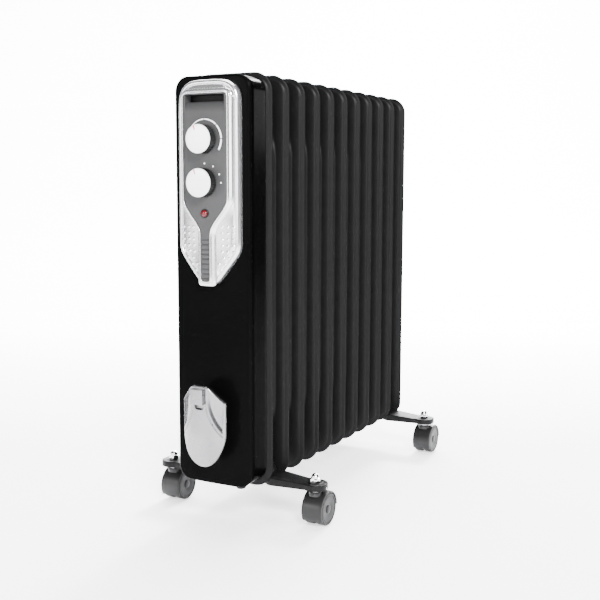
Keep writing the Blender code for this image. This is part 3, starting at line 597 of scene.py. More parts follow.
def bezel_outline(inset):
    half = BEZEL_HALF - inset
    tip = bezel_low.z + inset

    def side(t):
        return half, blend(SHOULDER_TOP, TAPER_START + inset * 0.4, t)

    points = pod_half(half, bezel_high.z - inset, BEZEL_CORNER - inset * 0.5, side,
                      TIP_HALF - inset * 0.4, tip)
    return relaxed(both_halves(points), 8)


def fascia_outline(grow):
    half = FASCIA_HALF + grow
    neck = NECK_HALF + grow

    def shoulder(t):
        return blend(half, neck, smooth_step(t)), blend(SHOULDER_TOP, SHOULDER_END, t)

    corner = FASCIA_CORNER + max(grow, 0)
    points = pod_half(half, FASCIA_TOP + grow, corner, shoulder, neck, NECK_END - grow)
    return relaxed(both_halves(points), 2)


def pod_point(outline, depth):
    return [(x, FACE_Y - depth, z) for x, z in outline]


def between(first, second, t):
    return [(blend(a[0], b[0], t), blend(a[1], b[1], t)) for a, b in zip(first, second)]


WING_FOOT = 6.5 * MM  # inset where the bezel's wing starts
NECK_RIDGE = 7.2 * MM  # width of the rim between the wing and the fascia
WING_DEPTH = (8.1, 10.2)  # the wing's depth at its foot and at the rim
BEZEL_PROFILE = ((0, 0.2), (0, 4.6), (0.3, 6.0), (1.0, 7.5), (2.0, 8.6), (3.2, 9.2), (4.4, 9.3),
                 (5.2, 9.0), (5.6, 8.2), (5.9, 7.7), (6.2, 7.7))
RIM_PROFILE = ((7.2, 10.4), (6.8, 11.7), (6.2, 12.5), (5.2, 13.1), (4.0, 13.7), (3.1, 14.2), (2.7, 13.9),
               (2.4, 14.1), (2.0, 15.3), (1.5, 16.2), (0.9, 16.5), (0.4, 16.3), (0.25, 15.6), (0.25, 9.0))
PIP_PROFILE = ((2.4, -1.2), (2.3, 0.1), (1.8, 0.6), (1.0, 0.95), (0.1, 1.05))
PIP_PITCH = 8.4 * MM
PIP_EDGE = 2.6 * MM  # from the last pip to the wing's outer edge
PIP_GAP = 3.2 * MM  # from the first pip to the rim
PIP_ROWS = 9
PIP_COLUMNS = 4


def make_bezel():
    rings = [pod_point(bezel_outline(inset * MM), depth * MM) for inset, depth in BEZEL_PROFILE]
    foot = bezel_outline(WING_FOOT)
    wall = fascia_outline(NECK_RIDGE)
    rings += [pod_point(between(foot, wall, t / 4), blend(*WING_DEPTH, t / 4) * MM) for t in range(5)]
    rings += [pod_point(fascia_outline(grow * MM), depth * MM) for grow, depth in RIM_PROFILE]
    piece("control_bezel_shell", bowed(Shape().skin(rings)), "silver", nodes=("control_bezel",), sharp=60)

    pips = Shape()
    for row in range(PIP_ROWS):
        z = NECK_END + 6 * MM + row * PIP_PITCH
        inner = fascia_half_at(z) + NECK_RIDGE + PIP_GAP
        outer = BEZEL_HALF - WING_FOOT - PIP_EDGE - max(0.0, TAPER_START - z) * 0.78
        for column in range(PIP_COLUMNS):
            x = outer - column * PIP_PITCH
            if x < inner:
                continue
            rise = (outer - x) / max(outer + PIP_EDGE - (inner - PIP_GAP), MM)
            for side in (-1, 1):
                at = (side * x, FACE_Y - blend(8.2, 10.2, rise) * MM, z)
                pips.add(turned(in_mm(PIP_PROFILE), 16), Matrix.Translation(at) @ FACE_FRONT)
    piece("bezel_pips", bowed(pips), "silver")


SLOT_HALF = 30.5 * MM
SLOT_TOP = 600.5 * MM
SLOT_BOTTOM = 591.5 * MM
COVE_END = 577 * MM
SLOT_DEEP = 2.0 * MM
COVE_DEPTH = 8.6 * MM
RIB_TOP = 409 * MM
RIB_PITCH = 6.6 * MM
RIB_DEPTH = 1.5 * MM
FASCIA_ACROSS = 14


def fascia_depth(x, z):
    """How far the fascia stands in front of the panel's skin."""
    depth = FASCIA_FACE
    if abs(x) < SLOT_HALF:
        if SLOT_BOTTOM < z < SLOT_TOP:
            return SLOT_DEEP
        if z <= SLOT_BOTTOM:
            t = (z - COVE_END) / (SLOT_BOTTOM - COVE_END)
            if t > 0:
                depth -= COVE_DEPTH * (1 - math.sqrt(max(0.0, 1 - t * t)))
    if z < RIB_TOP:
        wave = abs(math.sin(math.pi * (RIB_TOP - z) / RIB_PITCH))
        edge = smooth_step((NECK_HALF - abs(x)) / (1.6 * MM))
        depth -= RIB_DEPTH * (1 - wave) ** 1.4 * edge
    return depth


def fascia_rows():
    rows = [FASCIA_TOP - 0.3 * MM, SLOT_TOP + 0.6 * MM, SLOT_TOP + 0.05 * MM, SLOT_TOP - 0.05 * MM,
            SLOT_BOTTOM + 0.05 * MM, SLOT_BOTTOM - 0.02 * MM]
    rows += [blend(SLOT_BOTTOM, COVE_END, (k / 12) ** 1.5) for k in range(1, 13)]
    rows += [blend(COVE_END, SHOULDER_TOP, k / 16) for k in range(1, 17)]
    rows += [blend(SHOULDER_TOP, RIB_TOP, k / 20) for k in range(1, 21)]
    rows += [blend(RIB_TOP, NECK_END + 0.4 * MM, k / 88) for k in range(1, 89)]
    return rows


def fascia_half_at(z):
    if z > FASCIA_TOP - FASCIA_CORNER:
        rise = z - (FASCIA_TOP - FASCIA_CORNER)
        return FASCIA_HALF - FASCIA_CORNER + math.sqrt(max(0.0, FASCIA_CORNER ** 2 - rise ** 2))
    if z > SHOULDER_TOP:
        return FASCIA_HALF
    return blend(FASCIA_HALF, NECK_HALF, smooth_step((SHOULDER_TOP - z) / (SHOULDER_TOP - SHOULDER_END)))


def make_fascia():
    rings = []
    for z in fascia_rows():
        half = fascia_half_at(z) - 0.1 * MM
        slot = min(SLOT_HALF, half - 1.5 * MM)
        xs = [half, half - 0.15 * MM, half - 0.6 * MM, slot + 0.25 * MM, slot - 0.05 * MM]
        sinks = [1.4 * MM, 0.35 * MM, 0, 0, 0]
        inner = [slot * (1 - 2 * k / FASCIA_ACROSS) for k in range(1, FASCIA_ACROSS)]
        row = [(x, FACE_Y - fascia_depth(x, z) + sink, z) for x, sink in zip(xs, sinks)]
        row += [(x, FACE_Y - fascia_depth(x, z), z) for x in inner]
        row += [(-x, FACE_Y - fascia_depth(x, z) + sink, z)
                for x, sink in zip(reversed(xs), reversed(sinks))]
        rings.append(row)
    mesh = bowed(Shape().skin(rings, around=False)).mesh()
    for material in ("fascia", "black"):
        mesh.materials.append(MATERIALS[material])
    for polygon in mesh.polygons:
        # Faces more than 3.1 mm down into the slot take the black plastic: painted shade inside the slot.
        x, y, z = polygon.center
        inside = abs(x) < SLOT_HALF and SLOT_BOTTOM < z < SLOT_TOP
        if inside and FACE_Y - y < FASCIA_FACE - 3.1 * MM:
            polygon.material_index = 1
    mesh.shade_smooth()
    mesh.set_sharp_from_angle(angle=math.radians(45))
    piece("control_fascia_plate", mesh, "fascia", nodes=("control_fascia",))
    make_scales()


def arc_strip(shape, radius, start, stop, width_at, depth, steps):
    """Thin printed strip along an arc; angles are degrees clockwise from straight up."""
    rings = []
    for i in range(steps + 1):
        degrees = blend(start, stop, i / steps)
        angle = math.radians(degrees)
        half = width_at(degrees) / 2
        ring = []
        for r, d in ((radius - half, depth - 0.15 * MM), (radius - half, depth + 0.12 * MM),
                     (radius + half, depth + 0.12 * MM), (radius + half, depth - 0.15 * MM)):
            ring.append((r * math.sin(angle), FACE_Y - d, r * math.cos(angle)))
        rings.append(ring)
    return shape.skin(rings, caps=(True, True))


def lifted(shape, z):
    shape.points = [(x, y, height + z) for x, y, height in shape.points]
    return shape


SCALE_RADIUS = 26.3 * MM
SCALE_ARCS = ((-118, -64), (-61, -2), (1, 43), (46, 88), (91, 122))
SCALE_WIDTHS = (0.5, 2.6)
MARK_RADIUS = 25.5 * MM
MARK_ANGLES = (0, 32, 64, 90)
MARK_SIZE = 1.9 * MM


def make_scales():
    depth = FASCIA_FACE
    shape = Shape()
    first, last = SCALE_ARCS[0][0], SCALE_ARCS[-1][1]

    def growing(degrees):
        return blend(*SCALE_WIDTHS, (degrees - first) / (last - first)) * MM

    for start, stop in SCALE_ARCS:
        arc_strip(shape, SCALE_RADIUS, start, stop, growing, depth, 16)
    piece("thermostat_scale", bowed(lifted(shape, KNOB_Z["thermostat"])), "print")
    marks = Shape()
    for degrees in MARK_ANGLES:
        arc_strip(marks, MARK_RADIUS, degrees - 2.2, degrees + 2.2, lambda d: MARK_SIZE, depth, 4)
    piece("power_marks", bowed(lifted(marks, KNOB_Z["power"])), "print")


POINTER_REST = math.radians(-20)
FLUTES = 36
FLUTE_DEPTH = 0.55 * MM
GRIP_FOOT_PROFILE = ((0.6, 0), (0, 0.5), (0, 1.6), (0.4, 2.6))
GRIP_TOP_PROFILE = ((0.6, 2.4), (1.2, 1.9), (2.4, 1.6))
CAP_PROFILE = ((0, 1.9), (0, 1.0), (0.4, 0.45), (1.2, 0.25))
POINTER_PROFILE = ((7.5, 0.7), (4.5, 0.95), (0.8, 1.15))  # distance in from the cap's edge, half width


def make_knobs():
    for prefix, z in KNOB_Z.items():
        body = f"{prefix}_control"
        low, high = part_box(f"{prefix}_knob")
        radius = (high.z - low.z) / 2
        height = high.y - low.y
        place = (0, high.y, z)

        def flutes(angle, r):
            if r < radius - 2.2 * MM:
                return r
            return r - FLUTE_DEPTH * (0.5 - 0.5 * math.cos(angle * FLUTES)) ** 2

        side = [(2 * MM, 0)]
        side += [(radius - inset, rise) for inset, rise in in_mm(GRIP_FOOT_PROFILE)]
        side += [(radius - inset, height - drop) for inset, drop in in_mm(GRIP_TOP_PROFILE)]
        side.append((2 * MM, height - 1.6 * MM))
        grip = Shape().add(turned(side, 144, flutes=flutes), FACE_FRONT)
        piece(f"{prefix}_knob_grip", grip, "grip", body, place, (f"{prefix}_knob",), 50)
        face = radius - 0.5 * MM
        cap = [(face - inset, height - drop) for inset, drop in in_mm(CAP_PROFILE)]
        cap += [(face * 0.6, height - 0.1 * MM), (0.4 * MM, height - 0.02 * MM)]
        cap_shape = Shape().add(turned(cap, 96), FACE_FRONT)
        piece(f"{prefix}_knob_cap", cap_shape, "knob_face", body, place, (), 60)
        rings = []
        foot = -(height - 0.35 * MM)
        top = -height + 0.01 * MM
        for back, half in in_mm(POINTER_PROFILE):
            reach = face - back
            rings.append([(-half, foot, reach), (-half * 0.8, top, reach), (half * 0.8, top, reach),
                          (half, foot, reach)])
        upright = Shape().skin(rings, caps=(True, True))
        pointer = Shape().add(upright, Matrix.Rotation(POINTER_REST, 4, "Y"))
        piece(f"{prefix}_knob_pointer", pointer, "red_print", body, place)


LENS_PROFILE = ((4.6, 0), (4.6, 4.9), (4.5, 5.4), (4.0, 6.3), (2.9, 7.1), (1.5, 7.5), (0.2, 7.6))
LAMP_RING_PROFILE = ((4.7, 3.0), (6.0, 3.0), (6.0, 4.9), (5.6, 5.3), (4.9, 5.2), (4.7, 4.6))


def make_pilot():
    place = (0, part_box("pilot_lens")[1].y, LAMP_Z)
    dome = Shape().add(turned(in_mm(LENS_PROFILE), 40), FACE_FRONT)
    piece("pilot_lens_dome", dome, "lens", at=place, nodes=("pilot_lens",))
    ring = Shape().add(turned(in_mm(LAMP_RING_PROFILE), 40, closed=True), FACE_FRONT)
    piece("pilot_bezel_ring", ring, "grip", at=place)


# Cord hook -------------------------------------

HOOK_SIDE_BACK = 17.5 * MM
HOOK_SIDE_FRONT = 23.0 * MM
HOOK_BULGE = FACE_Y - hook_low.y - HOOK_SIDE_FRONT - BOW
HOOK_BULGE_LOW = 3 * MM
HOOK_SHOULDER = 188 * MM
HOOK_SIDE_END = 147 * MM
HOOK_TOP_HALF = 12.5 * MM
HOOK_EDGE = 2.2 * MM
WING_SUNK = 2.2 * MM
WING_SUNK_OUTSIDE = 4.0 * MM
BOTTLE_HALF = 13.2 * MM  # half width of the raised middle at the clip
BOTTLE_FLARE = 20.5 * MM  # how much wider it gets lower down
BOTTLE_FROM = 197 * MM
BOTTLE_REACH = 53 * MM
BEAD_HALF = 1.9 * MM
BEAD_HEIGHT = 0.9 * MM
GROOVE_IN = 4.6 * MM
FINE_GROOVE_HALF = 1.3 * MM
FINE_GROOVE_DEPTH = 1.0 * MM
SCOOP_Z = 184.5 * MM
SCOOP_DEPTH = 4.2 * MM
HOOK_ROWS = 170
HOOK_ACROSS = 120


def hook_half_at(z):
    """Half width of the shield at a height."""
    if z > HOOK_SHOULDER:
        t = (z - HOOK_SHOULDER) / (hook_high.z - HOOK_SHOULDER)
        return blend(hook_high.x, HOOK_TOP_HALF, t) - 2.5 * MM * smooth_step((t - 0.86) / 0.14)
    if z > HOOK_SIDE_END:
        return hook_high.x
    t = min(1.0, (HOOK_SIDE_END - z) / (HOOK_SIDE_END - hook_low.z))
    return hook_high.x * math.sqrt(max(0.0, 1 - t * t))


def hook_bulge(x, z):
    rise = smooth_step(0.5 + 0.5 * (z - hook_low.z) / (HOOK_SIDE_END - hook_low.z))
    height = blend(HOOK_BULGE_LOW, HOOK_BULGE, (rise - 0.5) * 2)
    return height * max(0.0, 1 - (x / hook_high.x) ** 2)


def hook_relief(x, z, near):
    """Height of the shield's pattern: a raised bottle shape between two sunk wings, and a thumb scoop."""
    flare = max(0.0, (BOTTLE_FROM - z) / BOTTLE_REACH)
    inside = BOTTLE_HALF + BOTTLE_FLARE * flare ** 2 - abs(x)
    wing = smooth_step((near - 1.5 * MM) / (1.4 * MM)) * smooth_step(-inside / BEAD_HALF)
    relief = -blend(WING_SUNK, WING_SUNK_OUTSIDE, smooth_step(-inside / (15 * MM))) * wing
    if near > HOOK_EDGE:
        bead = 1 - abs(inside - BEAD_HALF) / BEAD_HALF
        groove = 1 - abs(inside - GROOVE_IN) / FINE_GROOVE_HALF
        relief += BEAD_HEIGHT * smooth_step(bead * 1.6) - FINE_GROOVE_DEPTH * smooth_step(groove)
    scoop = math.hypot(max(0.0, abs(x) - 3.5 * MM) / (3.6 * MM), max(0.0, SCOOP_Z - z) / (5.5 * MM))
    if z < clip_low.z + 6 * MM:
        relief -= SCOOP_DEPTH * (1 - smooth_step((scoop - 0.8) / 0.25))
    return relief


def make_cord_hook():
    top, bottom = hook_high.z, hook_low.z
    rings = []
    for row in range(HOOK_ROWS + 1):
        down = 0.5 - 0.5 * math.cos(math.pi * row / HOOK_ROWS)
        z = top - 0.03 * MM - (top - bottom - 0.06 * MM) * down
        half = max(hook_half_at(z), 0.6 * MM)
        front, back = [], []
        for k in range(HOOK_ACROSS + 1):
            u = 1 - 2 * k / HOOK_ACROSS
            x = half * blend(u, math.sin(u * math.pi / 2), 0.4)
            near = min(half - abs(x), (top - z) * 1.3, (z - bottom) * 1.6)
            edge = min(1.0, max(0.0, near) / HOOK_EDGE)
            drop = HOOK_EDGE * (1 - math.sqrt(1 - (1 - edge) ** 2))
            bulge = hook_bulge(x, z)
            depth = HOOK_SIDE_FRONT + bulge - drop + hook_relief(x, z, near)
            front.append((x, FACE_Y - depth, z))
            if k % 10 == 0:
                rear = HOOK_SIDE_BACK + bulge + 0.8 * MM * (1 - edge)
                back.append((x, FACE_Y - rear, z))
        rings.append(front + back[::-1])
    piece("cord_hook_shield", bowed(Shape().skin(rings, caps=(True, True))), "shield",
          nodes=("cord_hook_plate",), sharp=55)
    softened("cord_clip", "shield", 1.0 * MM, "cord_clip_hood")
    softened("cord_hook_post", "black", 0.8 * MM, "cord_hook_stem")


# Feet ------------------------------------------

PAD = 18 * MM
SHEET = 2 * MM
SADDLE_X = 44 * MM
SADDLE_HALF = 12 * MM
ARM_HALF = 21 * MM  # the arm's half width beside the saddle
ARM_END_HALF = 16 * MM
ARM_FROM = 60 * MM
ARM_TOP = 68.2 * MM
PAD_TOP = 64.5 * MM
BRACKET_ROUND = 1.6 * MM
WASHER_PROFILE = ((6, -0.2), (11.5, -0.2), (11.5, 0.25), (11.0, 0.6), (6, 0.6))


def bracket_section(x, stem_x, saddle_top):
    """(half width, top) of the foot bracket at a distance from its middle."""
    x = abs(x)
    down = smooth_step((x - SADDLE_X) / (8 * MM))
    arm_top = blend(ARM_TOP, PAD_TOP, min(1.0, max(0.0, (x - 50 * MM) / (54 * MM))))
    top = blend(saddle_top, arm_top, down)
    width = blend(SADDLE_HALF, ARM_HALF, smooth_step((x - 42 * MM) / (17 * MM)))
    if x > ARM_FROM:
        width = min(width, blend(ARM_HALF, ARM_END_HALF, (x - ARM_FROM) / (46 * MM)))
    reach = x - stem_x
    pad = math.sqrt(max(0.0, PAD ** 2 - reach ** 2)) if abs(reach) < PAD else 0.0
    if x > stem_x:
        return pad, top
    return max(width, pad), top


def make_bracket(end):
    low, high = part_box(f"{end}_foot_bracket")
    y = centre(f"{end}_u_bolt").y
    stem_x = high.x - PAD
    rim = BRACKET_ROUND
    stations = [stem_x + PAD * math.sin(math.pi / 2 * k / 14) for k in range(14, 0, -1)]
    stations[0] -= 0.06 * MM
    stations += [blend(stem_x, SADDLE_X + 10 * MM, k / 22) for k in range(23)]
    stations += [blend(SADDLE_X + 10 * MM, SADDLE_X - 3 * MM, k / 12) for k in range(1, 13)]
    stations += [30 * MM, 15 * MM]
    xs = stations + [0] + [-x for x in reversed(stations)]
    rings = []
    for x in xs:
        half, top = bracket_section(x, stem_x, high.z)
        past = stem_x + PAD - abs(x)
        sunk = rim - math.sqrt(max(0.0, rim ** 2 - max(0.0, rim - past) ** 2))
        top -= sunk
        edge = min(rim, half * 0.6)
        inner = max(half - SHEET, half * 0.5)
        ring = [(x, -half, low.z), (x, -half, top - edge)]
        ring += [(x, -half + inset, top - drop) for inset, drop in fillet(edge, 4)[1:]]
        ring += [(x, half - inset, top - drop) for inset, drop in reversed(fillet(edge, 4)[1:])]
        ring += [(x, half, top - edge), (x, half, low.z), (x, inner, low.z), (x, inner, top - SHEET),
                 (x, -inner, top - SHEET), (x, -inner, low.z)]
        rings.append(ring)
    shape = Shape().skin(rings, caps=(True, True))
    washer = [(r, PAD_TOP + rise) for r, rise in in_mm(WASHER_PROFILE)]
    for sign in (-1, 1):
        shape.add(turned(washer, 40, closed=True), Matrix.Translation((sign * stem_x, 0, 0)))
    piece(f"{end}_foot_bar", shape, "bracket", at=(0, y, 0), nodes=(f"{end}_foot_bracket",), sharp=40)
    make_u_bolt(end, y)


def make_u_bolt(end, y):
    low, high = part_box(f"{end}_u_bolt")
    rod = (high.y - low.y) / 2
    bend = high.x - rod
    path = [(bend, 0, low.z), (bend, 0, LOW_HEADER - 8 * MM)]
    for i in range(37):
        angle = math.radians(5 * i)
        path.append((bend * math.cos(angle), 0, LOW_HEADER + bend * math.sin(angle)))
    path += [(-bend, 0, LOW_HEADER - 8 * MM), (-bend, 0, low.z)]
    piece(f"{end}_u_bolt_rod", tube(path, rod, 20), "steel", at=(0, y, 0), nodes=(f"{end}_u_bolt",))


NUT_CORNER = 8 * MM
NUT_DOME = 6.0 * MM
NUT_SIDES = 48


def nut_ring(radius, z, hexagon=False):
    """Points round a circle, or round the hexagon with its corners on that circle."""
    ring = []
    for i in range(NUT_SIDES):
        angle = 2 * math.pi * i / NUT_SIDES
        r = radius
        if hexagon:
            r = radius * math.cos(math.pi / 6) / math.cos(angle % (math.pi / 3) - math.pi / 6)
        ring.append((r * math.cos(angle), r * math.sin(angle), z))
    return ring


def cap_nut_shape(base):
    """Domed hexagon nut."""
    flat = NUT_CORNER * math.cos(math.pi / 6)
    dome_z = base + 7.6 * MM
    rings = [nut_ring(NUT_CORNER * 0.96, base + 0.05 * MM, True),
             nut_ring(NUT_CORNER, base + 0.7 * MM, True), nut_ring(NUT_CORNER, base + 5.2 * MM, True),
             nut_ring(flat * 0.99, base + 6.3 * MM), nut_ring(NUT_DOME + 0.1 * MM, base + 6.6 * MM),
             nut_ring(NUT_DOME, dome_z)]
    for i in range(1, 9):
        angle = math.radians(11 * i)
        rings.append(nut_ring(NUT_DOME * math.cos(angle), dome_z + 5.5 * MM * math.sin(angle)))
    return Shape().skin(rings, caps=(True, True))


HOOD_WALL = 2.2 * MM
HOOD_ROUND = 1.3 * MM
HOOD_ARC = (2, 212)  # degrees, from level behind the axle over the top
HOOD_STEPS = 60
WEB_HALF = 1.9 * MM
WEB_EYE = 9 * MM
AXLE_PROFILE = ((3.0, -12.6), (3.0, 12.6))
BOSS_PROFILE = ((8.9, -0.9), (8.6, -0.3), (8.0, 0), (4.6, 0))


def hood_shape(axle_z, outer, trail, half, boss_top):
    """Fender over the wheels, web between them, stem boss and axle, about the stem's foot."""
    thick = HOOD_WALL
    soft = HOOD_ROUND
    start, stop = HOOD_ARC
    angles = [math.radians(blend(start, stop, i / HOOD_STEPS)) for i in range(HOOD_STEPS + 1)]
    rings = []
    for i, angle in enumerate(angles):
        wide = half - (0.5 * MM if i in (0, HOOD_STEPS) else 0)
        profile = [(-wide + soft, outer), (-wide + 0.4 * soft, outer - 0.2 * soft), (-wide, outer - soft),
                   (-wide, outer - thick), (-wide + 0.5 * MM, outer - thick),
                   (wide - 0.5 * MM, outer - thick), (wide, outer - thick), (wide, outer - soft),
                   (wide - 0.4 * soft, outer - 0.2 * soft), (wide - soft, outer)]
        profile += [(blend(wide - soft, -wide + soft, k / 6), outer) for k in range(1, 6)]
        rings.append([(x, trail + r * math.cos(angle), axle_z + r * math.sin(angle)) for x, r in profile])
    shape = Shape().skin(rings, caps=(True, True))
    web = [(outer - 1.5 * MM, angle) for angle in angles]
    web += [(WEB_EYE, math.radians(blend(stop, start + 360, i / 16))) for i in range(1, 16)]
    plates = [[(x, trail + r * math.cos(a), axle_z + r * math.sin(a)) for r, a in web]
              for x in (-WEB_HALF, WEB_HALF)]
    shape.skin(plates, caps=(True, True))
    boss = [(r, boss_top + rise) for r, rise in in_mm(BOSS_PROFILE)]
    boss = [(8.9 * MM, 45.2 * MM), *boss, (4.6 * MM, 46 * MM)]
    shape.add(turned(boss, 40, closed=True))
    shape.add(turned(in_mm(AXLE_PROFILE), 24), Matrix.Translation((0, trail, axle_z)) @ FACE_RIGHT)
    return shape


WHEEL_BORE = 3.3 * MM
TREAD_PROFILE = ((1.6, -0.1), (2.8, 0), (3.6, -0.2), (4.0, -0.9), (4.6, -0.9), (5.0, -0.4))
DISC_PROFILE = ((13, -0.5), (9, -1.1), (6.4, -1.4), (6.1, -0.7), (5.4, -0.35), (2, -0.2), (0.2, -0.2),
                (0.2, -1.2))


def wheel_shape(radius, inner, outer):
    """Wheel about its axle: soft-edged tread, dished disc with a rim groove and a hub cap."""
    profile = [(WHEEL_BORE, inner), (radius - 1.4 * MM, inner), (radius - 0.4 * MM, inner + 0.5 * MM),
               (radius, inner + 1.6 * MM), (radius, outer - 2.2 * MM), (radius - 0.5 * MM, outer - 0.9 * MM)]
    profile += [(radius - inset, outer + rise) for inset, rise in in_mm(TREAD_PROFILE)]
    profile += [(r, outer + rise) for r, rise in in_mm(DISC_PROFILE)]
    profile.append((WHEEL_BORE, outer - 1.6 * MM))
    return turned(profile, 72, closed=True)


def make_casters():
    hood_low, hood_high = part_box("front_left_caster_hood")
    wheel_low, wheel_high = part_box("front_left_wheel_right")
    stem = centre("front_left_caster_stem")
    axle = centre("front_left_wheel_right")
    radius = (wheel_high.z - wheel_low.z) / 2
    half = (hood_high.x - hood_low.x) / 2
    trail = axle.y - stem.y
    outer = hood_high.y - axle.y
    nut_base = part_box("front_left_cap_nut")[0].z
    nut = cap_nut_shape(nut_base).mesh()
    hood = hood_shape(axle.z, outer, trail, half, hood_high.z).mesh()
    base = wheel_shape(radius, wheel_low.x - stem.x, wheel_high.x - stem.x)
    wheels = {side: Shape().add(base, Matrix.Rotation(math.radians(90 * sign), 4, "Y")).mesh()
              for side, sign in SIDES.items()}
    for end in ENDS:
        for side in SIDES:
            name = f"{end}_{side}"
            at = centre(f"{name}_caster_stem")
            foot = (at.x, at.y, 0)
            piece(f"{name}_acorn_nut", nut, "chrome", at=foot, nodes=(f"{name}_cap_nut",), sharp=25)
            piece(f"{name}_hood", hood, "caster", f"{name}_caster", foot, (f"{name}_caster_hood",), 40)
            for wheel_side, mesh in wheels.items():
                wheel = f"{name}_wheel_{wheel_side}"
                place = (at.x, at.y + trail, axle.z)
                piece(f"{wheel}_disc", mesh, "wheel", f"{wheel}_body", place, (wheel,), 35)
            softened(f"{name}_wing_nut", "steel", 0.4 * MM)


# CAD nodes that stay as they are ---------------

def dress_cad_nodes():
    """Procedural finishes for the CAD nodes whose own shape is shown."""
    kept = {"heating_element": "steel", "thermostat_body": "black", "power_switch_body": "black",
            "pilot_lamp": "lens", "thermal_cutout": "steel", "wiring_loom": "sleeve",
            "thermostat_shaft": "steel", "power_shaft": "steel", "casing_rear_plate": "panel"}
    for end in ENDS:
        for side in SIDES:
            kept[f"{end}_{side}_caster_stem"] = "steel"
    for name, material in kept.items():
        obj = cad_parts[name]
        obj.data.materials.clear()
        obj.data.materials.append(MATERIALS[material])
    softened("oil_filler_plug", "brass", 0.6 * MM)
    softened("cord_gland", "black", 0.5 * MM)


# Studio ----------------------------------------

VIEW_TURN = math.radians(28.0)  # the camera and the backdrop face the heater from this side
FLOOR_GLOW = 1.2
WALL_GLOW = 10.0
GLOW_EDGE = (0.75, 1.0)  # the glow fades out between these distances from the middle line
GLOW_WIDENING = 0.3  # and further out towards the back
SWEEP_HALF = 5.0
SWEEP_FRONT = -6.0
SWEEP_BEND = 1.6
SWEEP_RADIUS = 0.9
SWEEP_TOP = 4.0
FLOOR_DROP = 0.0002  # keeps the floor just under the wheels
WORLD_LIGHT = 0.16
LIGHTS = (  # name, place, aimed at, width and height, watts
    ("key_right", (1.9, -2.1, 1.9), (0, -0.25, 0.45), (0.8, 0.8), 300),
    ("left_soft", (-1.3, -2.4, 0.7), (0, -0.25, 0.35), (1.6, 1.2), 30),
    ("top_box", (0.0, 0.2, 2.3), (0, 0, 0.4), (1.4, 1.6), 100),
    ("front_card", (0.7, -2.3, 0.6), (0, -0.3, 0.5), (1.3, 0.6), 30),
    ("left_card", (-1.03, -2.18, 0.80), (0, -0.3, 0.6), (0.7, 0.3), 8),
    ("back_card", (1.55, 2.4, 0.86), (0.1, -0.2, 0.6), (0.8, 0.45), 24),
    ("back_rim", (-0.18, 2.3, 2.2), (0, 0, 0.5), (0.6, 0.6), 240),
)
CAMERA_SIDE = 0.7237  # to the right of the panel's middle
CAMERA_AWAY = 1.1072  # in front of the panel
CAMERA_UP = 0.4872
CAMERA_DIP = math.radians(7.02)
CAMERA_ROLL = math.radians(0.17)
CAMERA_LENS = 58.0


def stage_piece(name, shape, dark, light):
    """A matt studio surface that glows more towards its back and less towards its sides."""
    nodes = Nodes(name)
    tone = nodes.span(nodes.noise(1.5, 2.0), 0.0, 1.0)
    colour = nodes.mix(tone, colour_of(dark), colour_of(light))
    nodes.link(colour, nodes.shader.inputs["Base Color"])
    nodes.link(nodes.span(nodes.noise(6.0, 2.0), 0.75, 0.85), nodes.shader.inputs["Roughness"])
    put(nodes.shader, Specular_IOR_Level=0.05)
    split = nodes.add("ShaderNodeSeparateXYZ")
    nodes.link(nodes.place, split.inputs["Vector"])
    sideways = nodes.add("ShaderNodeMath", operation="ABSOLUTE")
    nodes.link(split.outputs["X"], sideways.inputs[0])
    across = nodes.add("ShaderNodeMath", operation="MULTIPLY_ADD")
    nodes.link(split.outputs["Y"], across.inputs[0])
    across.inputs[1].default_value = -GLOW_WIDENING
    nodes.link(sideways.outputs["Value"], across.inputs[2])
    glow = nodes.add("ShaderNodeMath", operation="MULTIPLY")
    nodes.link(nodes.span(split.outputs["Y"], FLOOR_GLOW, WALL_GLOW, 0.2, 2.2), glow.inputs[0])
    nodes.link(nodes.span(across.outputs["Value"], 1.0, 0.0, *GLOW_EDGE), glow.inputs[1])
    nodes.link(glow.outputs["Value"], nodes.shader.inputs["Emission Strength"])
    nodes.link(colour, nodes.shader.inputs["Emission Color"])
    mesh = shape.mesh()
    mesh.materials.append(nodes.material)
    obj = bpy.data.objects.new(name, mesh)
    show(obj)
    return obj


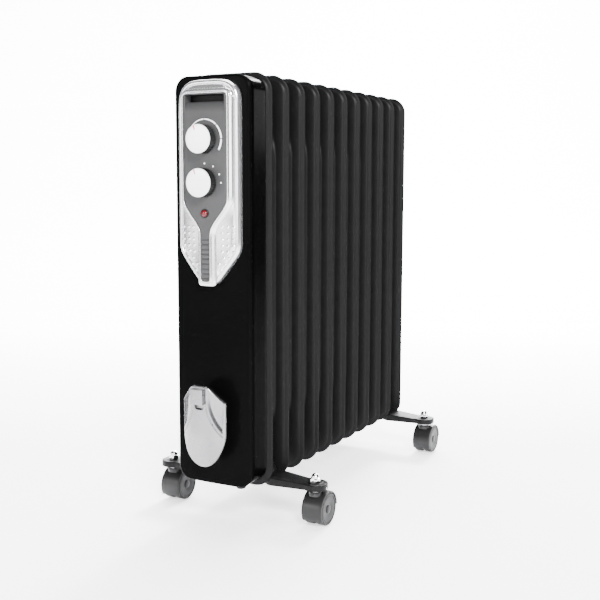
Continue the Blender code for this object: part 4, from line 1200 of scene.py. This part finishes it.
def make_backdrop():
    """Pale floor that sweeps up into a bright wall, square to the camera."""
    profile = [(SWEEP_FRONT, 0), (-2.0, 0), (0.0, 0), (SWEEP_BEND, 0)]
    for i in range(1, 13):
        angle = math.radians(90 * i / 12)
        profile.append((SWEEP_BEND + SWEEP_RADIUS * math.sin(angle), SWEEP_RADIUS * (1 - math.cos(angle))))
    profile.append((SWEEP_BEND + SWEEP_RADIUS, SWEEP_TOP))
    rows = [[(x, y, z - FLOOR_DROP) for x in (-SWEEP_HALF, SWEEP_HALF)] for y, z in profile]
    floor = stage_piece("studio_floor", Shape().skin(rows, around=False), 0.93, 0.96)
    floor.rotation_euler = (0, 0, VIEW_TURN)


def area_light(name, at, toward, size, power):
    data = bpy.data.lights.new(name, "AREA")
    data.shape = "RECTANGLE"
    data.size, data.size_y = size
    data.energy = power
    light = bpy.data.objects.new(name, data)
    light.location = at
    light.rotation_euler = (Vector(toward) - Vector(at)).to_track_quat("-Z", "Y").to_euler()
    show(light)


def make_studio():
    make_backdrop()
    world = bpy.data.worlds.new("studio")
    bpy.context.scene.world = world
    world.use_nodes = True
    background = world.node_tree.nodes["Background"]
    put(background, Color=(1, 1, 1, 1), Strength=WORLD_LIGHT)
    for light in LIGHTS:
        area_light(*light)


def make_camera():
    """The camera stands in front of the panel's right side, a little above the middle."""
    data = bpy.data.cameras.new("camera")
    data.sensor_width = 36
    data.lens = CAMERA_LENS
    camera = bpy.data.objects.new("camera", data)
    place = Matrix.Translation((CAMERA_SIDE, FACE_Y - CAMERA_AWAY, CAMERA_UP))
    aim = Matrix.Rotation(VIEW_TURN, 4, "Z") @ Matrix.Rotation(math.pi / 2 - CAMERA_DIP, 4, "X")
    camera.matrix_world = place @ aim @ Matrix.Rotation(CAMERA_ROLL, 4, "Z")
    show(camera)
    bpy.context.scene.camera = camera


make_camera()
make_studio()
make_fins()
make_panel()
make_wrap()
make_bezel()
make_fascia()
make_knobs()
make_pilot()
make_cord_hook()
for foot_end in ENDS:
    make_bracket(foot_end)
make_casters()
dress_cad_nodes()
